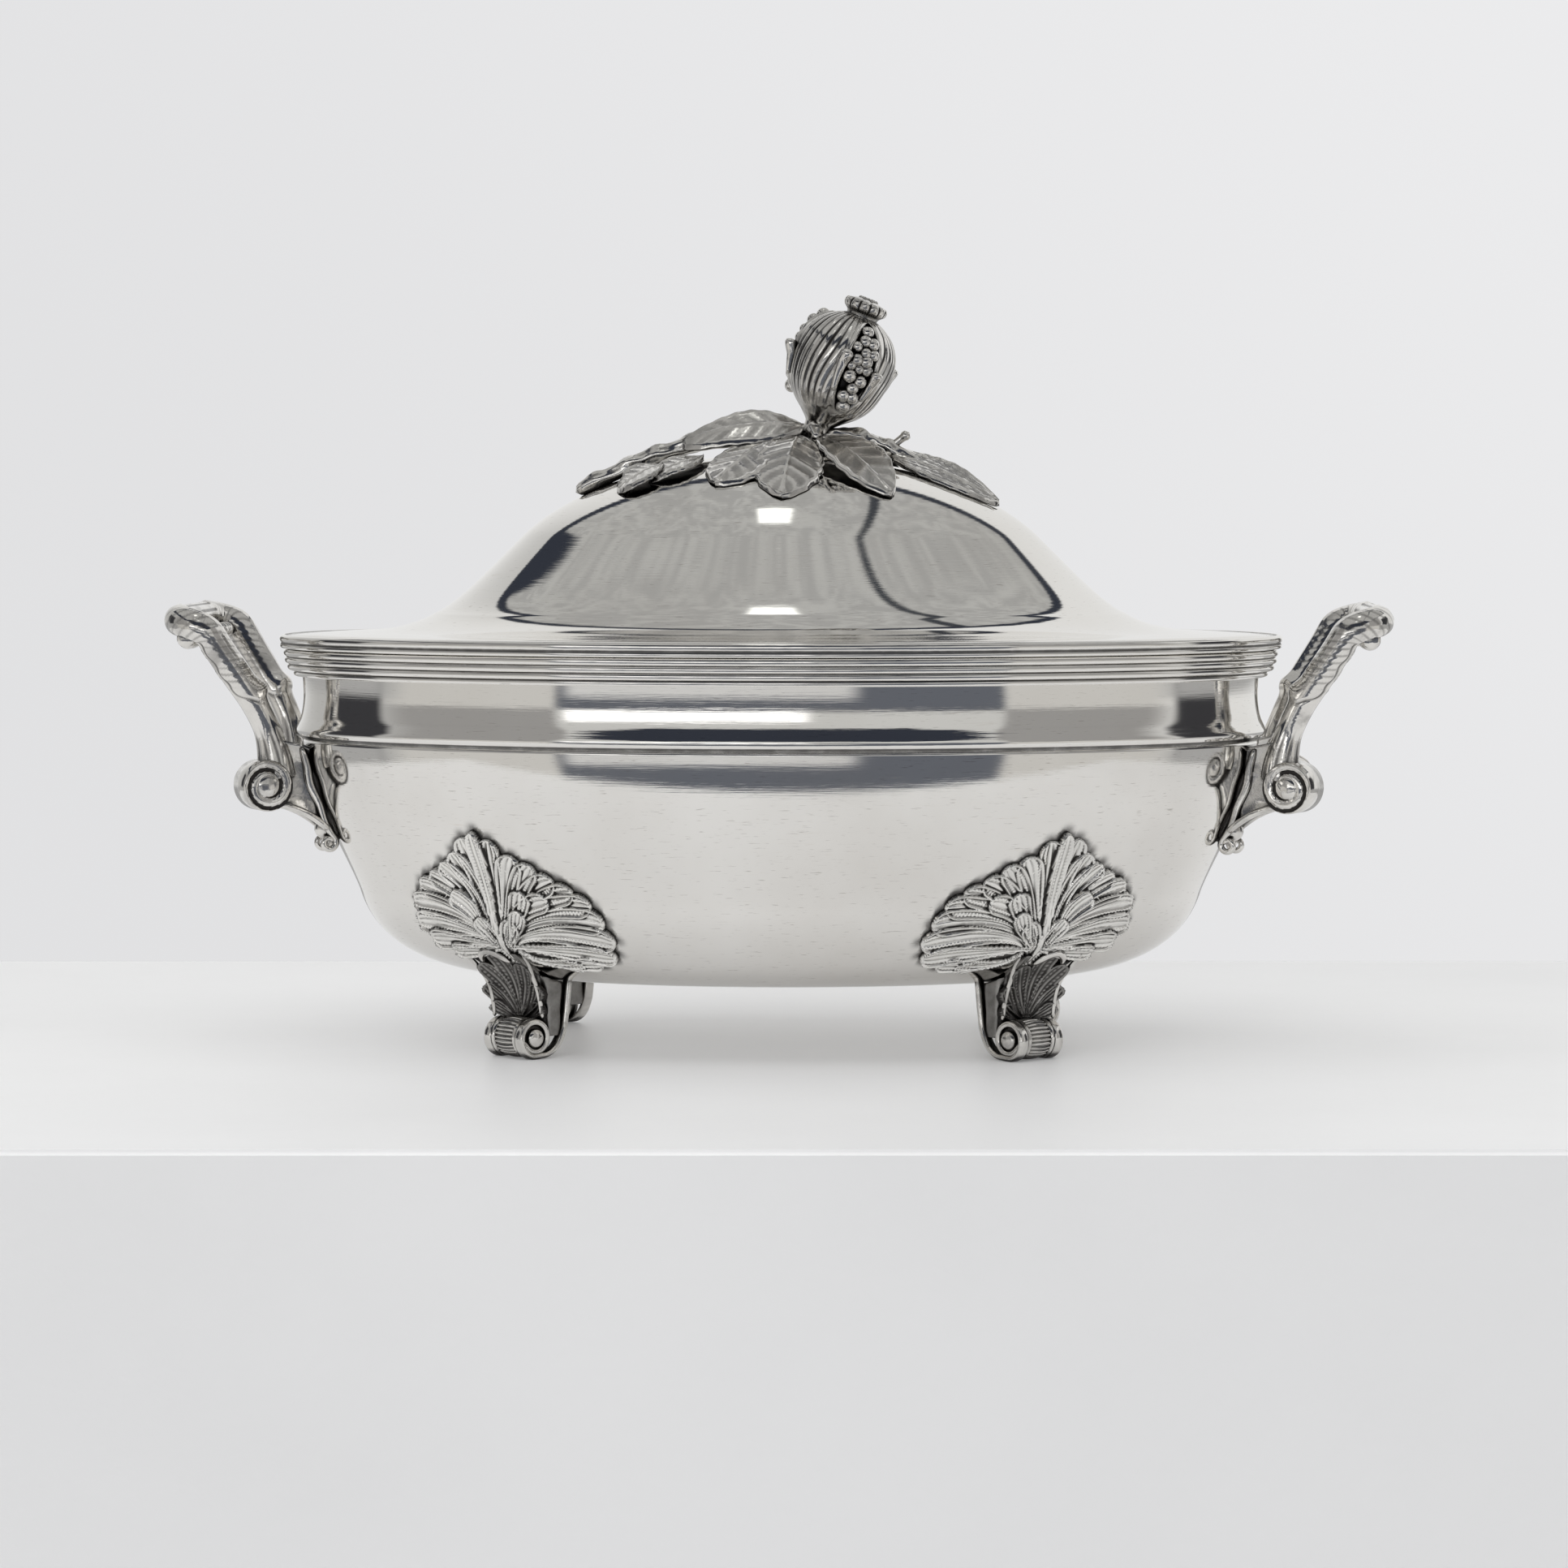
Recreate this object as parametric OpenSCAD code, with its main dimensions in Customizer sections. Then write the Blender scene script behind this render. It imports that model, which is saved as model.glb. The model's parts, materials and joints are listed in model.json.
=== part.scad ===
// Oval soup tureen of silver-plated brass: footed bowl with two looped handles, and a lift-off
// domed lid with a fruit, twig and leaf finial bolted through its crown.
// +X runs along the long axis, +Y across it, +Z up. The four feet stand on z = 0.

/* [Oval] */
// Width of every oval section as a share of its length
oval_ratio = 0.66; // [0.6:0.01:0.8]
// Thickness of the raised sheet, measured on the long axis
sheet_t = 1.2; // [1:0.1:2]

/* [Bowl] */
// Height of the bowl's flat underside above the table
base_z = 23; // [20:0.5:28]
// Half length of the flat underside
base_r = 84; // [76:1:88]
// Half length of the bowl at its open edge
bowl_r = 155; // [148:1:162]
// Height of the bowl wall, from underside to open edge
bowl_h = 76; // [68:1:90]
// Height of the neck band, from the bowl's edge to the top of the rim
neck_h = 29; // [25:1:36]
// How far the neck's hollow curves in
neck_dip = 0.9; // [0.5:0.1:2]
// Radius of the applied wire at the waist
waist_wire_r = 1.7; // [1.2:0.1:2.2]

/* [Rim moulding] */
// Radius of one reed
reed_r = 1.15; // [0.9:0.05:1.5]
// Number of reeds, one above another
reed_count = 4; // [2:1:5]
// How far the moulding stands out of the neck, before its reeds
rim_out = 5; // [3:0.5:7]

/* [Lid] */
// How far the lid's edge reaches past the rim moulding's body
lid_overhang = 1.6; // [0.5:0.1:3]
// Height of the dome from the rim to its crown
dome_h = 59; // [50:1:70]
// Half length of the dome where it meets the flange
dome_r = 111.8; // [100:1:118]
// Thickness of the lid's edge moulding
lid_edge_h = 4.6; // [4:0.1:6]
// Depth of the bezel below the lid's edge
bezel_h = 9; // [6:1:14]
// Clearance between bezel and neck, on the long axis
bezel_gap = 0.8; // [0.4:0.1:1.2]
// How far the handles' loops stand clear of the lid's edge
grip_reach = 31.5; // [28:0.5:38]

/* [Handles] */
// Radius of the cast loop
loop_r = 5.2; // [4.5:0.1:6]
// How far each arm turns away from the long axis
arm_splay = 24; // [15:1:30]
// Distance from the long axis to where an arm's plane meets the bowl
arm_root_y = 14.5; // [12:0.5:18]
// How far each arm's stem leans outwards
stem_lean = 11; // [6:1:14]
// Height of the loop's centre line above the rim
loop_rise = 9.5; // [4:0.5:16]
// Radius of the bend from upright stem to level arm
arm_bend_r = 22; // [19:0.5:24]
// Radius of the loop's two corners
corner_r = 8; // [7:0.5:10]
// Radius of the volute on each bracket
volute_r = 8.2; // [7:0.1:9]
// Thickness of a bracket
bracket_t = 9; // [7:0.5:11]

/* [Feet] */
// Distance of each foot's centre outside the flat of the base, before the oval squeeze
foot_out = 26.5; // [22:0.5:30]
// Where each foot stands, in degrees round the bowl from its ends
foot_at = 44.4; // [40:0.2:49]
// How far a foot turns away from the long axis
foot_turn = 44; // [35:1:55]
// Radius of the rolled scroll at the bottom
scroll_r = 6.9; // [6:0.1:8]
// Length of the rolled scroll
scroll_w = 25; // [20:1:30]
// Thickness of the cast leaf on the bowl's side
palmette_t = 2.4; // [1.6:0.1:3]
// Half the angle that the cast leaf spans, in degrees round the bowl
palmette_span = 16; // [12:0.5:18]
// Where the cast leaf's middle lies, in degrees round the bowl from its ends
palmette_at = 51; // [46:1:55]

/* [Finial] */
// Offset of the finial's root from the middle of the lid
root_x = 11; // [0:1:14]
// Height of the root's boss above the crown
root_h = 8.5; // [6:0.5:12]
// Radius of the fruit
fruit_r = 16.4; // [13:0.2:19]
// Tilt of the fruit away from upright
fruit_tilt = 22; // [0:1:30]
// Length of stalk between root and fruit
stalk_l = 5; // [3:0.5:8]
// Radius of the screw that holds the finial
stud_r = 2.5; // [2:0.1:3]
// Clearance round the screw in the lid
stud_gap = 0.1; // [0.05:0.05:0.3]
// Thickness of a finial leaf
leaf_t = 1.8; // [1.2:0.1:2.6]

/* [Hidden] */

silver = [0.80, 0.79, 0.76];
shadow_silver = [0.55, 0.54, 0.52];
far = 400;                      // longer than anything in the model
curve_steps = 7;                // straight steps in one curve of a section
$fn = 48;

bowl_top = base_z + bowl_h;
rim_top = bowl_top + neck_h;
neck_r = bowl_r + 0.8;          // half length of the neck at its top
neck_in_r = bowl_r - neck_dip - sheet_t;
rim_r = neck_r + rim_out;
rim_h = reed_count * 2 * reed_r * 0.86;
lid_r = rim_r + lid_overhang;
flange_z = rim_top + lid_edge_h - 0.4;   // top of the flange at its edge
flange_rise = 1.2;
flange_in_r = lid_r - 24;
crown_z = rim_top + 4 + dome_h;
bezel_r = neck_in_r - bezel_gap;
foot_x = (base_r + foot_out) * cos(foot_at);
foot_y = (base_r + foot_out) * sin(foot_at) * oval_ratio;

// ---- Curves of the sections ---------------------------------------------------------------

// Point at share t of a cubic Bezier curve
function bezier(a, b, c, d, t) =
    pow(1 - t, 3) * a + 3 * t * pow(1 - t, 2) * b + 3 * t * t * (1 - t) * c + pow(t, 3) * d;

// Points of a Bezier curve after its first
function curve(a, b, c, d, steps = curve_steps) = [for (i = [1:steps]) bezier(a, b, c, d, i / steps)];

// Unit normal to the left of the way a path runs, at its point i
function normal_at(path, i) =
    let (from = path[max(i - 1, 0)], to = path[min(i + 1, len(path) - 1)], way = to - from)
    [-way.y, way.x] / norm(way);

// A path moved sideways by d, kept on the axis where it starts or ends there
function moved(path, d) = [for (i = [0:len(path) - 1])
    let (p = path[i] + d * normal_at(path, i)) [path[i].x == 0 ? 0 : p.x, p.y]];

function reversed(path) = [for (i = [len(path) - 1:-1:0]) path[i]];

// Bowl, outside, from the middle of the underside to the open edge
flank = [base_r + 52.5, base_z + bowl_h * 0.355];
bowl_path = concat(
    [[0, base_z], [base_r, base_z]],
    curve([base_r, base_z], [base_r + 28, base_z], [base_r + 47, base_z + bowl_h * 0.11], flank),
    curve(flank, flank + [4, 12], [bowl_r - 4.5, bowl_top - 15], [bowl_r, bowl_top]));

// Neck, outside, from the bowl's edge to the top of the rim
neck_path = concat([[bowl_r, bowl_top]],
    curve([bowl_r, bowl_top], [bowl_r - neck_dip * 1.5, bowl_top + neck_h * 0.3],
        [neck_r - neck_dip * 1.5, rim_top - neck_h * 0.3], [neck_r, rim_top]));

// Lid, outside, from the edge of the flange to the crown
dome_base = [dome_r, flange_z + 7.2];
dome_waist = [dome_r * 0.749, flange_z + 31.7];
lid_path = concat(
    [[lid_r - 2, flange_z], [flange_in_r, flange_z + flange_rise]],
    curve([flange_in_r, flange_z + flange_rise], [flange_in_r - 12, flange_z + 1.7],
        dome_base + [7, -4.2], dome_base),
    curve(dome_base, dome_base + [-6.8, 2.8], dome_waist + [11.3, -11.2], dome_waist),
    curve(dome_waist, dome_waist + [-13.7, 13.8], [dome_r * 0.34, crown_z], [0, crown_z]));
lid_under = moved(lid_path, sheet_t);

// Height of the flange's underside at distance x from the middle
function flange_under(x) =
    let (a = lid_under[0], b = lid_under[1]) a.y + (b.y - a.y) * (x - a.x) / (b.x - a.x);

// ---- Helpers ------------------------------------------------------------------------------

// Squeezes what is turned round into an oval
module oval() { scale([1, oval_ratio, 1]) children(); }

// Turns a section through one quarter of an oval; quarter 2 is the front-left one
module turned_quarter(quarter) {
    oval() rotate([0, 0, 90 * quarter]) rotate_extrude(angle = 90) children();
}

// Turns a section into an oval ring or shell, a quarter at a time
module turned() {
    for (quarter = [0:3]) turned_quarter(quarter) children();
}

// Section of everything inside the neck's outer face
module neck_core() {
    polygon(concat([[0, bowl_top]], neck_path, [[0, rim_top]]));
}

// Section of everything inside the bowl's outer face, grown outwards
module bowl_core(grow = 0) {
    polygon(concat(moved(bowl_path, -grow), [[0, bowl_top]]));
}

// Section of everything under the lid's outer face, raised by a height
module lid_core(lift = 0) {
    translate([0, lift]) polygon(concat([[0, rim_top], [lid_path[0].x, rim_top]], lid_path));
}

// Sets children made for the front-left corner at each corner: side -1 is left, front -1 is front
module at_corner(side, front) {
    mirror([side > 0 ? 1 : 0, 0, 0]) mirror([0, front > 0 ? 1 : 0, 0]) children();
}

// ---- Bowl ---------------------------------------------------------------------------------

module bowl_shell() {
    color(silver) turned() intersection() {
        polygon(concat(bowl_path, reversed(moved(bowl_path, sheet_t))));
        square([far, bowl_top]);
    }
}

// Concave band between the waist and the rim; it stands on the bowl's edge
module neck_band() {
    color(silver) turned() intersection() {
        polygon(concat(neck_path, reversed(moved(neck_path, sheet_t))));
        translate([0, bowl_top]) square([far, neck_h]);
    }
}

// Wire soldered over the joint between bowl and neck
module waist_wire() {
    color(silver) turned() difference() {
        translate([bowl_r + 0.3, bowl_top + waist_wire_r]) circle(waist_wire_r, $fn = 12);
        neck_core();
    }
}

// Reeded band soldered round the outside of the neck's top
module rim_moulding() {
    pitch = rim_h / reed_count;
    color(silver) turned() difference() {
        union() {
            translate([bowl_r - 2, rim_top - rim_h]) square([neck_r + rim_out - bowl_r + 2, rim_h]);
            for (i = [0:reed_count - 1])
                translate([rim_r - 0.1, rim_top - pitch * (i + 0.5)])
                    circle(reed_r * 0.84, $fn = 8);
        }
        neck_core();
    }
}

// ---- Feet ---------------------------------------------------------------------------------

// Side view of a leg's strap: x is outwards, y is up
module leg_side() {
    heel = [-10.5, 15];
    back = [-13, base_z + 12];
    front = [16, base_z + 16];
    knee = [-1.5, 12.5];
    polygon(concat(
        [[1, 1]],
        curve([1, 1], [-7, 0.4], [-9.5, 9], heel, 5),
        curve(heel, [-11.4, 21], [-11.5, 25], back, 3),
        [front],
        curve(front, [8, base_z + 6], [-1.5, base_z + 3], knee, 5)));
}

// Places what is drawn in a leg's side view at the front-left corner
module leg_plane() {
    translate([-foot_x, -foot_y, 0]) rotate([0, 0, 180 + foot_turn]) rotate([90, 0, 0]) children();
}

// Strap of the leg, before it is cut to the bowl
module leg_strap() { leg_plane() linear_extrude(scroll_w * 0.8, center = true) leg_side(); }

// Leg at the front-left corner, rolled into a scroll at the bottom and cut to the bowl's flank
module foot() {
    flat = 0.25;                // how much of the scroll is worn flat
    scroll_centre = [2.2, scroll_r - flat, 0];
    color(shadow_silver) difference() {
        union() {
            leg_strap();
            leg_plane() translate(scroll_centre) {
                cylinder(r = scroll_r, h = scroll_w, center = true);
                cylinder(r = scroll_r * 0.36, h = scroll_w + 1.6, center = true);
            }
        }
        turned_quarter(2) bowl_core();
        translate([-far / 2, -far / 2, -far]) cube(far);
    }
}
module foot_front_left() { at_corner(-1, -1) foot(); }
module foot_front_right() { at_corner(1, -1) foot(); }
module foot_back_left() { at_corner(-1, 1) foot(); }
module foot_back_right() { at_corner(1, 1) foot(); }

// Outline of the cast leaf, seen from outside: a fan of lobes
module palmette_outline(reach) {
    lobes = 11;
    low = base_z + 9;
    for (i = [0:lobes - 1]) {
        side = 2 * i / (lobes - 1) - 1;
        up = 1 - pow(abs(side), 1.7);
        tip = [side * (reach - 5), low + 7 + up * 27];
        translate(tip) circle(4.4, $fn = 24);
        polygon([[-5, low], [5, low], tip + [4, 0], tip - [4, 0]]);
    }
}

// Cast leaf soldered to the bowl's flank above a leg
module palmette_plate() {
    reach = bowl_r * 0.87 * sin(palmette_span);
    oval() difference() {
        intersection() {
            rotate([0, 0, 180 + palmette_at]) rotate([90, 0, 90]) linear_extrude(far)
                palmette_outline(reach);
            rotate_extrude() bowl_core(palmette_t);
        }
        rotate_extrude() bowl_core();
    }
}

// The same leaf, let in round the top of the leg
module palmette() {
    color(shadow_silver) difference() {
        palmette_plate();
        leg_strap();
    }
}
module palmette_front_left() { at_corner(-1, -1) palmette(); }
module palmette_front_right() { at_corner(1, -1) palmette(); }
module palmette_back_left() { at_corner(-1, 1) palmette(); }
module palmette_back_right() { at_corner(1, 1) palmette(); }

// ---- Handles ------------------------------------------------------------------------------

arm_root_x = bowl_r - 20;
loop_z = rim_top + loop_rise;
grip_x = lid_r + grip_reach;             // centre line of the crossbar
corner_x = grip_x - corner_r;
arm_end_x = corner_x - corner_r * sin(arm_splay);
arm_end_s = (arm_end_x - arm_root_x) / cos(arm_splay);
corner_y = arm_root_y + tan(arm_splay) * (arm_end_x - arm_root_x) - corner_r * cos(arm_splay);
bend_start = [arm_end_s - arm_bend_r * cos(stem_lean), loop_z - arm_bend_r * (1 - sin(stem_lean))];
joint_z = bowl_top - 5;                  // where stem and bracket are soldered end to end
joint_s = bend_start.x - (bend_start.y - joint_z) * tan(stem_lean);
volute = [joint_s + 3.5, joint_z - 10];

// Places what is drawn in an arm's upright plane, x outwards and y up, on the back-right arm
module arm_plane() {
    translate([arm_root_x, arm_root_y, 0]) rotate([0, 0, arm_splay]) rotate([90, 0, 0]) children();
}

// Ring that covers the joint of two rods, its middle on the joint
module collar(length = 3) { cylinder(r = loop_r + 0.6, h = length, center = true); }

// Stem and bend of one arm, back right
module arm() {
    start = 0.6;                         // the stem stops short of the bend, inside the collar
    stem_l = (bend_start.y - joint_z) / cos(stem_lean) - start;
    arm_plane() {
        intersection() {
            translate([joint_s, joint_z]) rotate([-90, 0, -stem_lean]) translate([0, 0, -loop_r])
                cylinder(r = loop_r, h = stem_l + loop_r);
            translate([-far / 2, joint_z, -far / 2]) cube(far);
        }
        translate([bend_start.x, bend_start.y, 0]) rotate([-90, 0, -stem_lean]) collar();
        translate([arm_end_s, loop_z - arm_bend_r]) rotate([0, 0, 90])
            rotate_extrude(angle = 90 - stem_lean) translate([arm_bend_r, 0]) circle(loop_r);
        translate([arm_end_s, loop_z]) rotate([0, 90, 0]) collar();
    }
}

// Cast loop of the right handle: two splayed arms, two corners and the crossbar
module handle_loop() {
    gap = 0.6;                           // rods stop short of each other inside the collars
    turn_gap = gap / corner_r * 180 / PI;
    color(silver) {
        for (side = [0, 1]) mirror([0, side, 0]) {
            arm();
            translate([corner_x, corner_y, loop_z])
                rotate_extrude(angle = 90 + arm_splay - turn_gap)
                    translate([corner_r, 0]) circle(loop_r);
            translate([grip_x, corner_y, loop_z]) rotate([90, 0, 0]) collar();
        }
        translate([grip_x, corner_y - gap, loop_z]) rotate([90, 0, 0])
            cylinder(r = loop_r, h = 2 * (corner_y - gap));
    }
}
module handle_loop_right() { handle_loop(); }
module handle_loop_left() { mirror([1, 0, 0]) handle_loop(); }

// Side view of a bracket's plate, in the arm's plane
module bracket_side() {
    tip = [5, joint_z - 28];
    polygon(concat(
        [tip],
        curve(tip, tip + [5, 3], volute + [-16, -8.5], volute + [-3, -7.6], 5),
        [volute + [2, 4], [joint_s + 4.4, joint_z - 1], [joint_s - 4.6, joint_z - 1]],
        curve([joint_s - 4.6, joint_z - 1], [joint_s - 6, joint_z], [joint_s - 8, joint_z + 2],
            [joint_s - 13, joint_z + 3], 3)));
}

// Bracket of the back-right arm: plate cut to the bowl, volute, eyes and the stem's foot
module bracket() {
    color(shadow_silver) difference() {
        arm_plane() {
            linear_extrude(bracket_t, center = true) bracket_side();
            translate(volute) cylinder(r = volute_r, h = bracket_t + 2, center = true);
            translate(volute) cylinder(r = volute_r * 0.47, h = bracket_t + 3.6, center = true);
            intersection() {
                translate([joint_s, joint_z]) rotate([90, 0, -stem_lean])
                    cylinder(r = loop_r, h = 16, center = true);
                translate([0, joint_z - 6, -far / 2]) cube([far, 6, far]);
            }
        }
        turned_quarter(0) bowl_core();
    }
}
module bracket_back_right() { bracket(); }
module bracket_back_left() { mirror([1, 0, 0]) bracket(); }
module bracket_front_right() { mirror([0, 1, 0]) bracket(); }
module bracket_front_left() { mirror([1, 0, 0]) mirror([0, 1, 0]) bracket(); }

// ---- Lid ----------------------------------------------------------------------------------

module lid_section() { polygon(concat(lid_path, reversed(lid_under))); }

// Domed shell, drilled for the finial's screw
module lid_shell() {
    color(silver) difference() {
        turned() lid_section();
        translate([root_x, 0, rim_top]) cylinder(r = stud_r + stud_gap, h = 2 * dome_h);
    }
}

// Moulding soldered round the flange: a bead over a flat lip that rests on the rim
module lid_edge() {
    bead_r = 1.2;
    color(silver) turned() difference() {
        union() {
            translate([lid_r - 5.5, rim_top]) square([5, lid_edge_h - 0.9]);
            translate([lid_r - 1.5, rim_top]) square([1.5, 1.6]);
            translate([lid_r - bead_r - 0.2, flange_z - bead_r]) circle(bead_r, $fn = 12);
        }
        lid_section();
    }
}

// Collar under the flange that drops into the neck
module lid_bezel() {
    low = rim_top - bezel_h;
    inner = bezel_r - sheet_t;
    color(silver) turned() polygon([[inner, low], [bezel_r, low],
        [bezel_r, flange_under(bezel_r)], [inner, flange_under(inner)]]);
}

// ---- Finial -------------------------------------------------------------------------------

root_r = 5.2;
root_top = crown_z + root_h;
screw_in = 6;                            // length of screw held in the root
washer_r = 7;
washer_h = 1;
nut_h = 4.5;
washer_top = lookup(root_x + washer_r, lid_under);
screw_end = washer_top - washer_h - nut_h - 2.5;

// Root's cone, before its foot is cut to the crown
module root_cone() {
    translate([root_x, 0, crown_z - 4])
        cylinder(r1 = root_r + 1, r2 = root_r - 1.2, h = root_h + 4);
}

// Boss that carries fruit, twigs and leaves; its foot is cut to the crown
module finial_root() {
    color(shadow_silver) difference() {
        root_cone();
        for (quarter = [0, 3]) turned_quarter(quarter) lid_core();
        translate([root_x, 0, crown_z - 8]) cylinder(r = stud_r, h = 8 + screw_in);
    }
}

// Threaded stud, shown plain, soldered into the root and passed through the lid
module finial_screw() {
    color(silver) translate([root_x, 0, screw_end])
        cylinder(r = stud_r, h = crown_z + screw_in - screw_end);
}

module finial_washer() {
    color(silver) translate([root_x, 0, washer_top - washer_h]) difference() {
        cylinder(r = washer_r, h = washer_h);
        translate([0, 0, -1]) cylinder(r = stud_r + stud_gap, h = washer_h + 2);
    }
}

module finial_nut() {
    color(silver) translate([root_x, 0, washer_top - washer_h - nut_h]) difference() {
        cylinder(r = 5.6, h = nut_h, $fn = 6);
        translate([0, 0, -1]) cylinder(r = stud_r + stud_gap / 2, h = nut_h + 2);
    }
}

// Fruit, from the foot of its stalk to its top, in its own upright frame
fruit_mid = stalk_l + fruit_r;
fruit_path = concat(
    [[0, 0], [3.4, 0]],
    curve([3.4, 0], [3.2, stalk_l * 0.6], [fruit_r * 0.74, stalk_l], [fruit_r * 0.94, fruit_mid - 3], 6),
    curve([fruit_r * 0.94, fruit_mid - 3], [fruit_r * 1.1, fruit_mid + 5],
        [fruit_r * 0.72, fruit_mid + fruit_r - 1.5], [4.6, fruit_mid + fruit_r], 6),
    [[0, fruit_mid + fruit_r]]);

// Stands what is drawn upright on the root, tilted as the fruit is
module on_root() {
    translate([root_x + 1.2, 0, root_top]) rotate([0, fruit_tilt, 0]) children();
}

// Beads for the seeds, in a double row up each of two splits in the skin
module seeds() {
    seed_r = 1.7;
    for (split = [-65, 160], i = [0:5], side = [-1, 1]) {
        up = fruit_mid - 9 + 3.6 * i + (side > 0 ? 1.8 : 0);
        out = lookup(up, [for (p = fruit_path) [p.y, p.x]]);
        rotate([0, 0, split + side * 110 / out]) translate([out - 0.3, 0, up]) sphere(seed_r);
    }
}

// Fruit and its seeds, one casting
module finial_fruit() {
    color(shadow_silver) difference() {
        on_root() {
            rotate_extrude() polygon(fruit_path);
            seeds();
        }
        translate([root_x, 0, root_top - far]) cylinder(r = far, h = far);
    }
}

// Flared calyx on top of the fruit
module finial_crown() {
    color(shadow_silver) on_root() translate([0, 0, fruit_mid + fruit_r]) rotate_extrude()
        polygon([[0, 0], [4.4, 0], [4.6, 1.6], [7, 3.6], [7, 5], [4, 6.2], [0, 6.4]]);
}

// Height of the lid's outer face at a point of its plan
function lid_z(x, y) = lookup(norm([x, y / oval_ratio]), lid_path);

// Knotted twig from the root over the dome to the point reach, arched over its seat there
module twig(reach, r, arch) {
    steps = 10;
    seat = 0.9;                          // clearance of the far end over the dome
    knot = 1.25;                         // how much thicker a knot is than the twig
    balls = [for (i = [0:steps])
        let (t = i / steps, x = root_x + (reach.x - root_x) * t, y = reach.y * t + 2 * sin(180 * t))
        [x, y, lid_z(x, y) + (root_h - 5) * (1 - t) + r + seat + arch * sin(180 * t)]];
    color(shadow_silver) difference() {
        for (i = [0:steps - 1]) hull() for (j = [i, i + 1])
            translate(balls[j]) sphere(r * (j % 3 == 1 ? knot : 1), $fn = 12);
        root_cone();
    }
}
module twig_left() { twig([-65, -1], 2.1, 3); }
module twig_right() { twig([52, 4], 1.9, 2); }

// Leaves on the dome: where each starts and ends in plan, and its width
leaves = [
    [[3, -5], [-24, -35], 13],
    [[9.5, -9], [5, -43], 16],
    [[17, -6], [37, -33], 15],
    [[21, -1.5], [68, -6], 13],
    [[-24, -4], [-48, -22], 13],
    [[2, 1], [-40, 3], 9],
    [[4, 6], [-20, 37], 14],
    [[11.5, 8], [9, 43], 15],
    [[17.5, 6], [40, 31], 15]];

// Outline of a leaf from a to b: pointed at both ends and widest before its middle
function leaf_outline(a, b, width) =
    let (way = b - a, across = [-way.y, way.x] / norm(way) * width / 2, n = 6)
    [for (side = [-1, 1], i = [0:n - 1])
        let (t = side < 0 ? i / n : 1 - i / n)
        a + way * t + across * side * sin(180 * pow(t, 0.8)) * (1 - 0.15 * t)];

// Leaf bent to the dome and soldered on it
module leaf(i) {
    outline = leaf_outline(leaves[i][0], leaves[i][1], leaves[i][2]);
    color(shadow_silver) oval() difference() {
        intersection() {
            translate([0, 0, rim_top]) linear_extrude(2 * dome_h)
                polygon([for (p = outline) [p.x, p.y / oval_ratio]]);
            rotate_extrude() lid_core(leaf_t);
        }
        rotate_extrude() lid_core();
        translate([root_x, 0, rim_top]) scale([1, 1 / oval_ratio, 1])
            cylinder(r = root_r + 1.2, h = far);
    }
}
module leaf_1() { leaf(0); }
module leaf_2() { leaf(1); }
module leaf_3() { leaf(2); }
module leaf_4() { leaf(3); }
module leaf_5() { leaf(4); }
module leaf_6() { leaf(5); }
module leaf_7() { leaf(6); }
module leaf_8() { leaf(7); }
module leaf_9() { leaf(8); }

bowl_shell();
neck_band();
waist_wire();
rim_moulding();
foot_front_left();
foot_front_right();
foot_back_left();
foot_back_right();
palmette_front_left();
palmette_front_right();
palmette_back_left();
palmette_back_right();
handle_loop_left();
handle_loop_right();
bracket_front_left();
bracket_front_right();
bracket_back_left();
bracket_back_right();
lid_shell();
lid_edge();
lid_bezel();
finial_root();
finial_fruit();
finial_crown();
twig_left();
twig_right();
finial_screw();
finial_washer();
finial_nut();
leaf_1();
leaf_2();
leaf_3();
leaf_4();
leaf_5();
leaf_6();
leaf_7();
leaf_8();
leaf_9();
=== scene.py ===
import json
import math

import bmesh
import bpy
import numpy as np
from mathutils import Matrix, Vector


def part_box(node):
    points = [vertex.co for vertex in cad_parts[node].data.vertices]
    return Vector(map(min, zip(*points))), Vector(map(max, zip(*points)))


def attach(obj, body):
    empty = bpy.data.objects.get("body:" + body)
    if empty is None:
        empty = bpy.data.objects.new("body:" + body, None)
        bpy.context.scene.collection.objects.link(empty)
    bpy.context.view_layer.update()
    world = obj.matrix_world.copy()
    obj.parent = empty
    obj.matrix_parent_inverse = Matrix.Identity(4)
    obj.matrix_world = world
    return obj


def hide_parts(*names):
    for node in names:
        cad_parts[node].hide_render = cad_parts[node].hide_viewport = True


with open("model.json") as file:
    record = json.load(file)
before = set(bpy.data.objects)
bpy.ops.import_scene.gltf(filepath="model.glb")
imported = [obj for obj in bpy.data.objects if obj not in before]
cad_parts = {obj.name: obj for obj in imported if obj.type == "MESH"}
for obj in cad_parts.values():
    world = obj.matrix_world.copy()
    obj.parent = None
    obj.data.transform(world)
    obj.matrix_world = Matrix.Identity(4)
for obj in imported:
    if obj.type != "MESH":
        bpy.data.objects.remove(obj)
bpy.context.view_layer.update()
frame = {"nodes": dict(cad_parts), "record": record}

MM = 0.001          # the shapes below are worked out in millimetres


# ---- Sizes, read from the frame --------

def low(node):
    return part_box(node)[0] / MM


def high(node):
    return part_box(node)[1] / MM


BASE_Z = low("bowl_shell").z
BOWL_TOP = high("bowl_shell").z
RIM_TOP = high("neck_band").z
BOWL_R = high("bowl_shell").x
OVAL = high("bowl_shell").y / BOWL_R
LID_R = high("lid_edge").x
CROWN_Z = high("lid_shell").z
SHEET = 1.2
BASE_R = 84.0


# ---- Curves --------

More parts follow.
